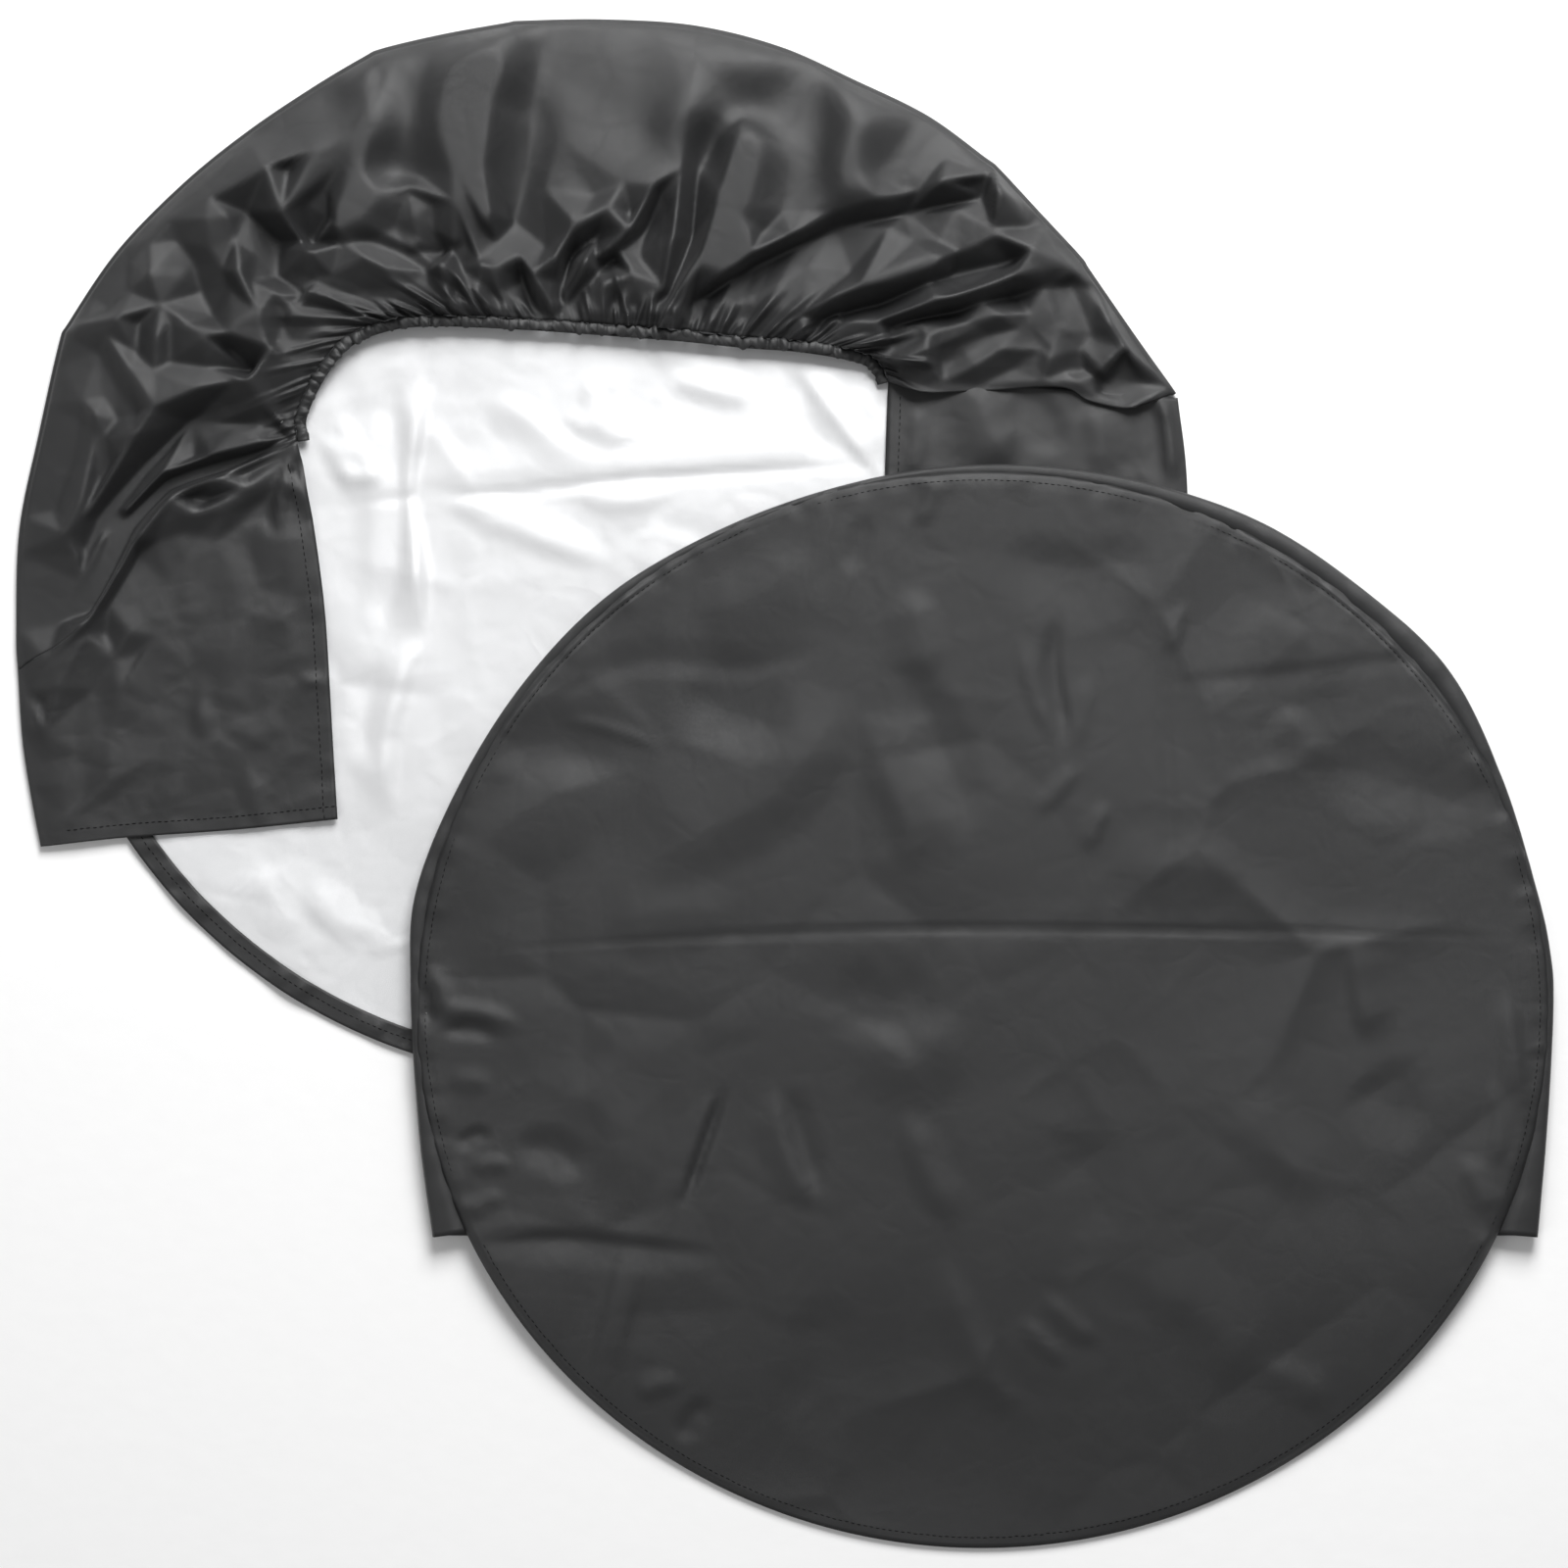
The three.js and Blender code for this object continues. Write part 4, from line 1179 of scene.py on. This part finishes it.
UPPER_FOLDS = [
    (-1.2, 3, 3, [(-200, -109), (-110, -102), (0, -97), (110, -94), (200, -95), (330, -96),
                  (480, -100)]),
    (-0.9, 5, 8, [(246, 66), (250, 10), (252, -60), (252, -126)]),
    (4.0, 26, 60, [(42, 58), (18, 24), (-8, -6), (-50, -30), (-104, -62)]),
    (-3.0, 30, 26, [(-70, 62), (-20, 40), (10, 34)]),
    (2.6, 44, 14, [(52, 46), (66, 10), (80, -24), (84, -60)]),
    (-2.6, 18, 20, [(78, 78), (96, 40), (114, -6), (120, -40)]),
    (2.4, 14, 22, [(82, 128), (88, 98), (94, 66)]),
    (-1.5, 9, 10, [(54, 176), (48, 156), (42, 134)]),
    (1.6, 10, 14, [(98, 203), (94, 186), (84, 168)]),
    (-1.6, 8, 9, [(88, 200), (86, 184), (78, 172)]),
    (-1.3, 14, 10, [(-154, 56), (-120, 70), (-88, 80), (-22, 76), (24, 88)]),
    (1.2, 5, 5, [(-141, 43), (-108, 34), (-78, 22)]),
    (3.4, 18, 40, [(-222, -90), (-208, -62), (-190, -34), (-144, -5), (-100, 4)]),
    (-2.6, 26, 22, [(-190, 18), (-150, 26), (-110, 14)]),
    (2.2, 40, 26, [(-120, -92), (-70, -82), (-30, -84)]),
    (-4.2, 3.5, 4.5, [(-38, -196), (-50, -230), (-66, -276)]),
    (1.5, 4, 12, [(-43, -197), (-55, -231), (-71, -277)]),
    (2.4, 10, 16, [(-8, -197), (2, -238), (18, -278)]),
    (-2.0, 12, 10, [(2, -198), (12, -236), (26, -270)]),
    (2.2, 16, 12, [(78, -212), (92, -250), (114, -288)]),
    (2.4, 18, 26, [(48, -156), (66, -172), (84, -182), (113, -148)]),
    (-1.8, 24, 26, [(30, -130), (70, -140), (100, -128)]),
    (2.4, 12, 18, [(103, -308), (122, -362), (150, -414)]),
    (1.6, 8, 8, [(154, -348), (168, -364), (185, -379)]),
    (1.6, 8, 8, [(168, -332), (186, -350), (205, -364)]),
    (2.8, 22, 9, [(370, -100), (374, -132), (381, -168)]),
    (-2.2, 34, 26, [(378, -186), (396, -210), (420, -214)]),
    (2.4, 12, 20, [(322, 50), (336, 32), (352, 14)]),
    (-2.8, 30, 26, [(342, 14), (386, 4), (424, -8), (458, -20)]),
    (2.0, 26, 18, [(284, -202), (318, -238), (352, -270)]),
    (-2.0, 5, 10, [(178, 110), (176, 76), (182, 40), (186, 24)]),
    (1.1, 12, 5, [(152, 96), (160, 62), (176, 26)]),
    (0.9, 8, 12, [(198, 72), (194, 44), (186, 20)]),
    (1.5, 7, 8, [(192, 12), (176, -6), (164, -20)]),
    (1.4, 6, 8, [(212, -12), (204, -24), (196, -44)]),
    (1.3, 6, 7, [(260, 118), (254, 100), (249, 84)]),
    (-0.8, 6, 10, [(246, 64), (284, 68), (326, 72), (372, 78), (420, 84)]),
    (-2.2, 6, 16, [(-200, -300), (-150, -296), (-100, -300), (-40, -306)]),
    (0.9, 16, 8, [(-206, -290), (-150, -285), (-96, -290)]),
    (1.8, 26, 22, [(-150, -196), (-118, -208), (-108, -236), (-120, -262)]),
    (-2.8, 14, 16, [(-176, -236), (-148, -238), (-130, -256)]),
    (2.4, 50, 50, [(-120, -340), (-96, -346)]),
    (-2.2, 8, 10, [(-68, -430), (-60, -412), (-46, -402)]),
    (1.8, 10, 8, [(-96, -400), (-84, -392), (-66, -390)]),
    (1.6, 14, 14, [(304, -378), (332, -388), (360, -404)]),
    (2.2, 7, 12, [(468, -130), (474, -170), (478, -216)]),
    (1.8, 10, 7, [(458, -190), (464, -220), (460, -250)]),
    (1.8, 8, 10, [(442, -240), (452, -262), (462, -282)]),
    (3.2, 9, 12, [(-240, -120), (-228, -126), (-223, -138), (-225, -154)]),
    (-4.0, 8, 9, [(-238, -128), (-232, -140), (-230, -158)]),
    (2.4, 8, 13, [(-226, -152), (-211, -147), (-192, -150), (-172, -156)]),
    (-3.0, 8, 8, [(-222, -162), (-204, -158), (-184, -164)]),
    (1.5, 7, 8, [(-206, -282), (-196, -272), (-180, -268)]),
    (1.5, 7, 8, [(-204, -252), (-190, -246), (-176, -250)]),
    (-2.2, 6, 8, [(-214, -236), (-200, -228), (-190, -230)]),
    (1.2, 8, 9, [(-218, -196), (-204, -192), (-190, -198)]),
    (2.0, 30, 20, [(230, -320), (280, -352), (300, -400)]),
    (-1.8, 28, 22, [(30, -330), (20, -380), (0, -420)]),
    (2.0, 26, 34, [(300, 120), (330, 96), (372, 70)]),
    (-2.2, 18, 30, [(140, 150), (190, 140), (240, 150)]),
    (2.4, 22, 34, [(-60, 110), (-20, 120), (20, 150)]),
    (1.8, 24, 24, [(210, -60), (250, -52), (300, -60)]),
    (-1.6, 26, 22, [(180, -220), (200, -260), (196, -300)]),
]


print("folds on the upper panel:", len(UPPER_FOLDS))

# %% [markdown]
# The panel's height is a tilted plane, then the folds, then a rounded edge with a shallow ditch
# along the topstitching.


# %% Upper panel
def upper_plane(x, y):
    drop = SKIRT_DROP * ease((SKIRT_LINE - y) / (UPPER_RADII[2] + SKIRT_LINE - UPPER_CENTRE[1]))
    return UPPER_LEVEL + UPPER_TILT * (y - UPPER_CENTRE[1]) - drop


def upper_panel_height(x, y):
    edge = 1 - rim_share(x, y, UPPER_CENTRE, UPPER_RADII)
    angle = np.arctan2(y - UPPER_CENTRE[1], x - UPPER_CENTRE[0])
    pulled = puckers(angle * 360, 15, 2.2) * 1.8 + puckers(angle * 360, 7, 9.2) * 0.9
    near_seam = ease(1 - edge / 0.055) * ease(edge / 0.008) * ease((y - SKIRT_LINE + 40) / 60)
    crumpled = 4.5 * facets_at(x, y, 120, 31.0) + 0.9 * facets_at(x, y, 46, 35.0)
    rounded = 2.2 * ease(1 - edge / 0.014)
    ditch = 0.5 * ease(1 - np.abs(edge * 360 - 6.3) / 1.6) * ease((y - SKIRT_LINE) / 6)
    folds = folds_at(x, y, UPPER_FOLDS) + crumpled
    z = upper_plane(x, y) + ease(edge / 0.02) * folds + near_seam * pulled - rounded - ditch
    return soft_floor(z, 2.4, 1.0)


def lay_upper_panel(u, v):
    x, y = disc(u, v, UPPER_CENTRE, UPPER_RADII)
    return np.column_stack([x, y, upper_panel_height(x, y)])


upper_panel = sheet_of("upper_panel", 212, 212, lay_upper_panel, [black, silver], PANEL_SIZE, None,
                       ["upper_front_panel", "upper_front_skirt"])


def bend_at_skirt(piece):
    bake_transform(piece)


bend_at_skirt(upper_panel)

# %% [markdown]
# ## The upper cover's side band
#
# Only the rim of this band shows: a few millimetres outside the seam at the back, and wider slivers
# at its two ends. The rest is turned in under the panel, where the same elastic gathers it. It is
# the same rule as for the lower band, measured downwards from the panel.

# %% Upper band
UPPER_RIM = [
    (491, -295), (497, -224), (501, -146), (499, -110), (490, -69), (467, 5), (432, 75),
    (375, 128), (311, 170), (240, 195), (166, 207), (93, 205), (20, 189), (-49, 162),
    (-114, 123), (-167, 69), (-209, 4), (-239, -68), (-243, -129), (-238, -224), (-229, -295),
]
UPPER_INNER = [
    (279, -296), (283, -225), (291, -147), (305, -72), (303, -50), (293, -30), (279, -14),
    (230, -8), (129, -4), (28, -8), (-21, -14), (-35, -30), (-45, -50), (-47, -72),
    (-33, -147), (-25, -225), (-21, -296),
]
upper_rim, upper_inner = line_through(UPPER_RIM), line_through(UPPER_INNER)
UPPER_ROWS = 46


def rim_width(u):
    """How far the rim stands out from the seam, mm."""
    place = upper_rim(u)
    share = rim_share(place[:, 0], place[:, 1], UPPER_CENTRE, UPPER_RADII)
    out = np.linalg.norm(place - UPPER_CENTRE, axis=1)
    return np.maximum(out * (1 - 1 / share), 1.2)


def beyond_lower(x, y):
    """1 where the cover lies on the floor, past the edge of the one below it."""
    return ease((rim_share(x, y, LOWER_CENTRE, LOWER_RADII) - 1.0) / 0.12)


def upper_loose_height(x, y):
    folds = 2.0 * facets_at(x, y, 55, 51.0)
    lying = 8.6 - 6.4 * beyond_lower(x, y) + folds * 0.6
    return np.minimum(lying, upper_plane(x, y) - 5.5)


def lay_upper_band(u, v):
    def top(u, share):
        return ruled(u, share, upper_rim, upper_inner)

    def depth(u, share, plan):
        below = upper_plane(plan[:, 0], plan[:, 1]) - upper_loose_height(plan[:, 0], plan[:, 1])
        return below - 1.0

    laid = turn_under(u, v, UPPER_ROWS, upper_rim, top, depth)
    x, y = laid[:, 0], laid[:, 1]
    row = np.round(v * UPPER_ROWS)
    on_rim = row < UNDER_ROWS
    out = -left_of(upper_rim, u)
    inset = (rim_width(u) + 5) * (UNDER_ROWS - row) / UNDER_ROWS
    laid[on_rim, :2] = (upper_rim(u) - out * inset[:, None])[on_rim]
    laid[:, 2] = upper_plane(laid[:, 0], laid[:, 1]) - 1.2 - laid[:, 2] - 1.4 * (row == 0)
    wave = 0.8 * puckers(u * upper_rim.length, 13, 4.4)
    laid[:, 2] += np.where(row <= UNDER_ROWS + TURN_ROWS, wave, 0)
    return laid


UPPER_BAND_SIZE = (1.44, 0.234)
upper_band = sheet_of("upper_band", 420, UPPER_ROWS, lay_upper_band, [black, silver], UPPER_BAND_SIZE,
                      "upper_cover",
                      ["upper_band_underlay", "upper_band_fold", "upper_right_flap", "upper_left_flap",
                       "upper_right_shoulder", "upper_crown", "upper_left_shoulder"],
                      turned=True)

# %% [markdown]
# ### Trim of the upper cover
#
# The hem of the skirt is turned under, so its stitches are all that shows of it. The seam between
# panel and band has a second row of stitches six millimetres inside it, which holds the allowance
# flat.

# %% Upper trim
upper_hem_line = arc_line(UPPER_CENTRE, UPPER_RADII, 206.2, 333.8)
upper_seam_line = arc_line(UPPER_CENTRE, UPPER_RADII, -24, 204)


def on_upper_panel(lift):
    return lambda u, offset, plan: upper_panel_height(plan[:, 0], plan[:, 1]) + lift


def under_upper_band(lift):
    return lambda u, offset, plan: upper_loose_height(plan[:, 0], plan[:, 1]) + lift


hem = strip_of("upper_panel_hem_cloth", upper_hem_line, (0.3, HEM_WIDTH), on_upper_panel(-1.3), black,
               ["upper_panel_hem"], None, 260, 4)
hem_thread = stitches_of("upper_hem_thread", upper_hem_line, 7.0, on_upper_panel(0),
                         ["upper_hem_stitches"], None)
bend_at_skirt(hem)
bend_at_skirt(hem_thread)
strip_of("upper_allowance", upper_seam_line, (1.5, 8), on_upper_panel(-0.9), silver,
         ["upper_seam_allowance"], "upper_cover", 240, 3)
stitches_of("upper_seam_thread", upper_seam_line, 0.6, on_upper_panel(-0.3), ["upper_seam_stitches"],
            "upper_cover")
stitches_of("upper_top_thread", upper_seam_line, 6.3, on_upper_panel(0), ["upper_topstitching"],
            "upper_cover")

for side, rim_end, inner_line in (("left", (491, -295), UPPER_INNER[:4]),
                                  ("right", (-229, -295), UPPER_INNER[:-5:-1])):
    turn = 1 if side == "left" else -1
    side_line = part_of(inner_line, 14, 0)
    end_line = part_of([inner_line[0], rim_end], 0, 6)
    for part, line, sign in (("side", side_line, -turn), ("end", end_line, turn)):
        name = f"upper_{side}_flap_{part}"
        offsets = sorted((sign * 0.5, sign * EDGE_HEM))
        strip_of(f"{name}_hem_cloth", line, offsets, under_upper_band(0.7), black, [f"{name}_hem"],
                 "upper_cover", 120, 3)
        stitches_of(f"{name}_thread", line, sign * 8.6, under_upper_band(-0.7),
                    [f"{name}_stitches"], "upper_cover")

upper_casing_line = line_through(UPPER_INNER[3:-3])
tube_of("upper_casing_cloth", upper_casing_line, 10.5, lambda u: 9.0 + 0 * u, 700,
                       black, "upper_casing", 7.5, -4.0)
tube_of("upper_elastic_band", upper_casing_line, 6.0, lambda u: 8.8 + 0 * u, 200,
                        elastic, "upper_elastic", None, -4.0)

# %% [markdown]
# ## Floor and light
#
# A large soft light stands behind the far edge of the covers, high up. Cloth that faces it shines,
# and slopes that turn away go dark, which is what draws the folds. The world adds an even fill.

# %% Floor and light
FLOOR_DROP = 0.0005  # the floor lies this far under the cloth, so that the two don't flicker
floor_mesh = bpy.data.meshes.new("floor")
floor_grid = bmesh.new()
bmesh.ops.create_grid(floor_grid, x_segments=2, y_segments=2, size=4)
floor_grid.to_mesh(floor_mesh)
floor_grid.free()
floor_mesh.materials.append(paper)
floor = bpy.data.objects.new("floor", floor_mesh)
floor.location.z = -FLOOR_DROP
bpy.context.collection.objects.link(floor)

LIGHTS = (  # name, place, width, watts
    ("key", (0.45, 2.1, 1.8), 1.5, 112),
    ("fill", (-1.9, -1.2, 2.4), 1.6, 8),
)
for name, place, width, watts in LIGHTS:
    lamp = bpy.data.lights.new(name, "AREA")
    lamp.energy, lamp.size = watts, width
    stand = bpy.data.objects.new(name, lamp)
    stand.location = place
    stand.rotation_euler = Vector(place).to_track_quat("Z", "Y").to_euler()
    bpy.context.collection.objects.link(stand)

print("lights:", [name for name, place, width, watts in LIGHTS])

world = bpy.data.worlds.new("studio")
world.use_nodes = True
world.node_tree.nodes["Background"].inputs["Color"].default_value = (1, 1, 1, 1)
world.node_tree.nodes["Background"].inputs["Strength"].default_value = 0.3
bpy.context.scene.world = world
bpy.context.scene.view_settings.view_transform = "Standard"
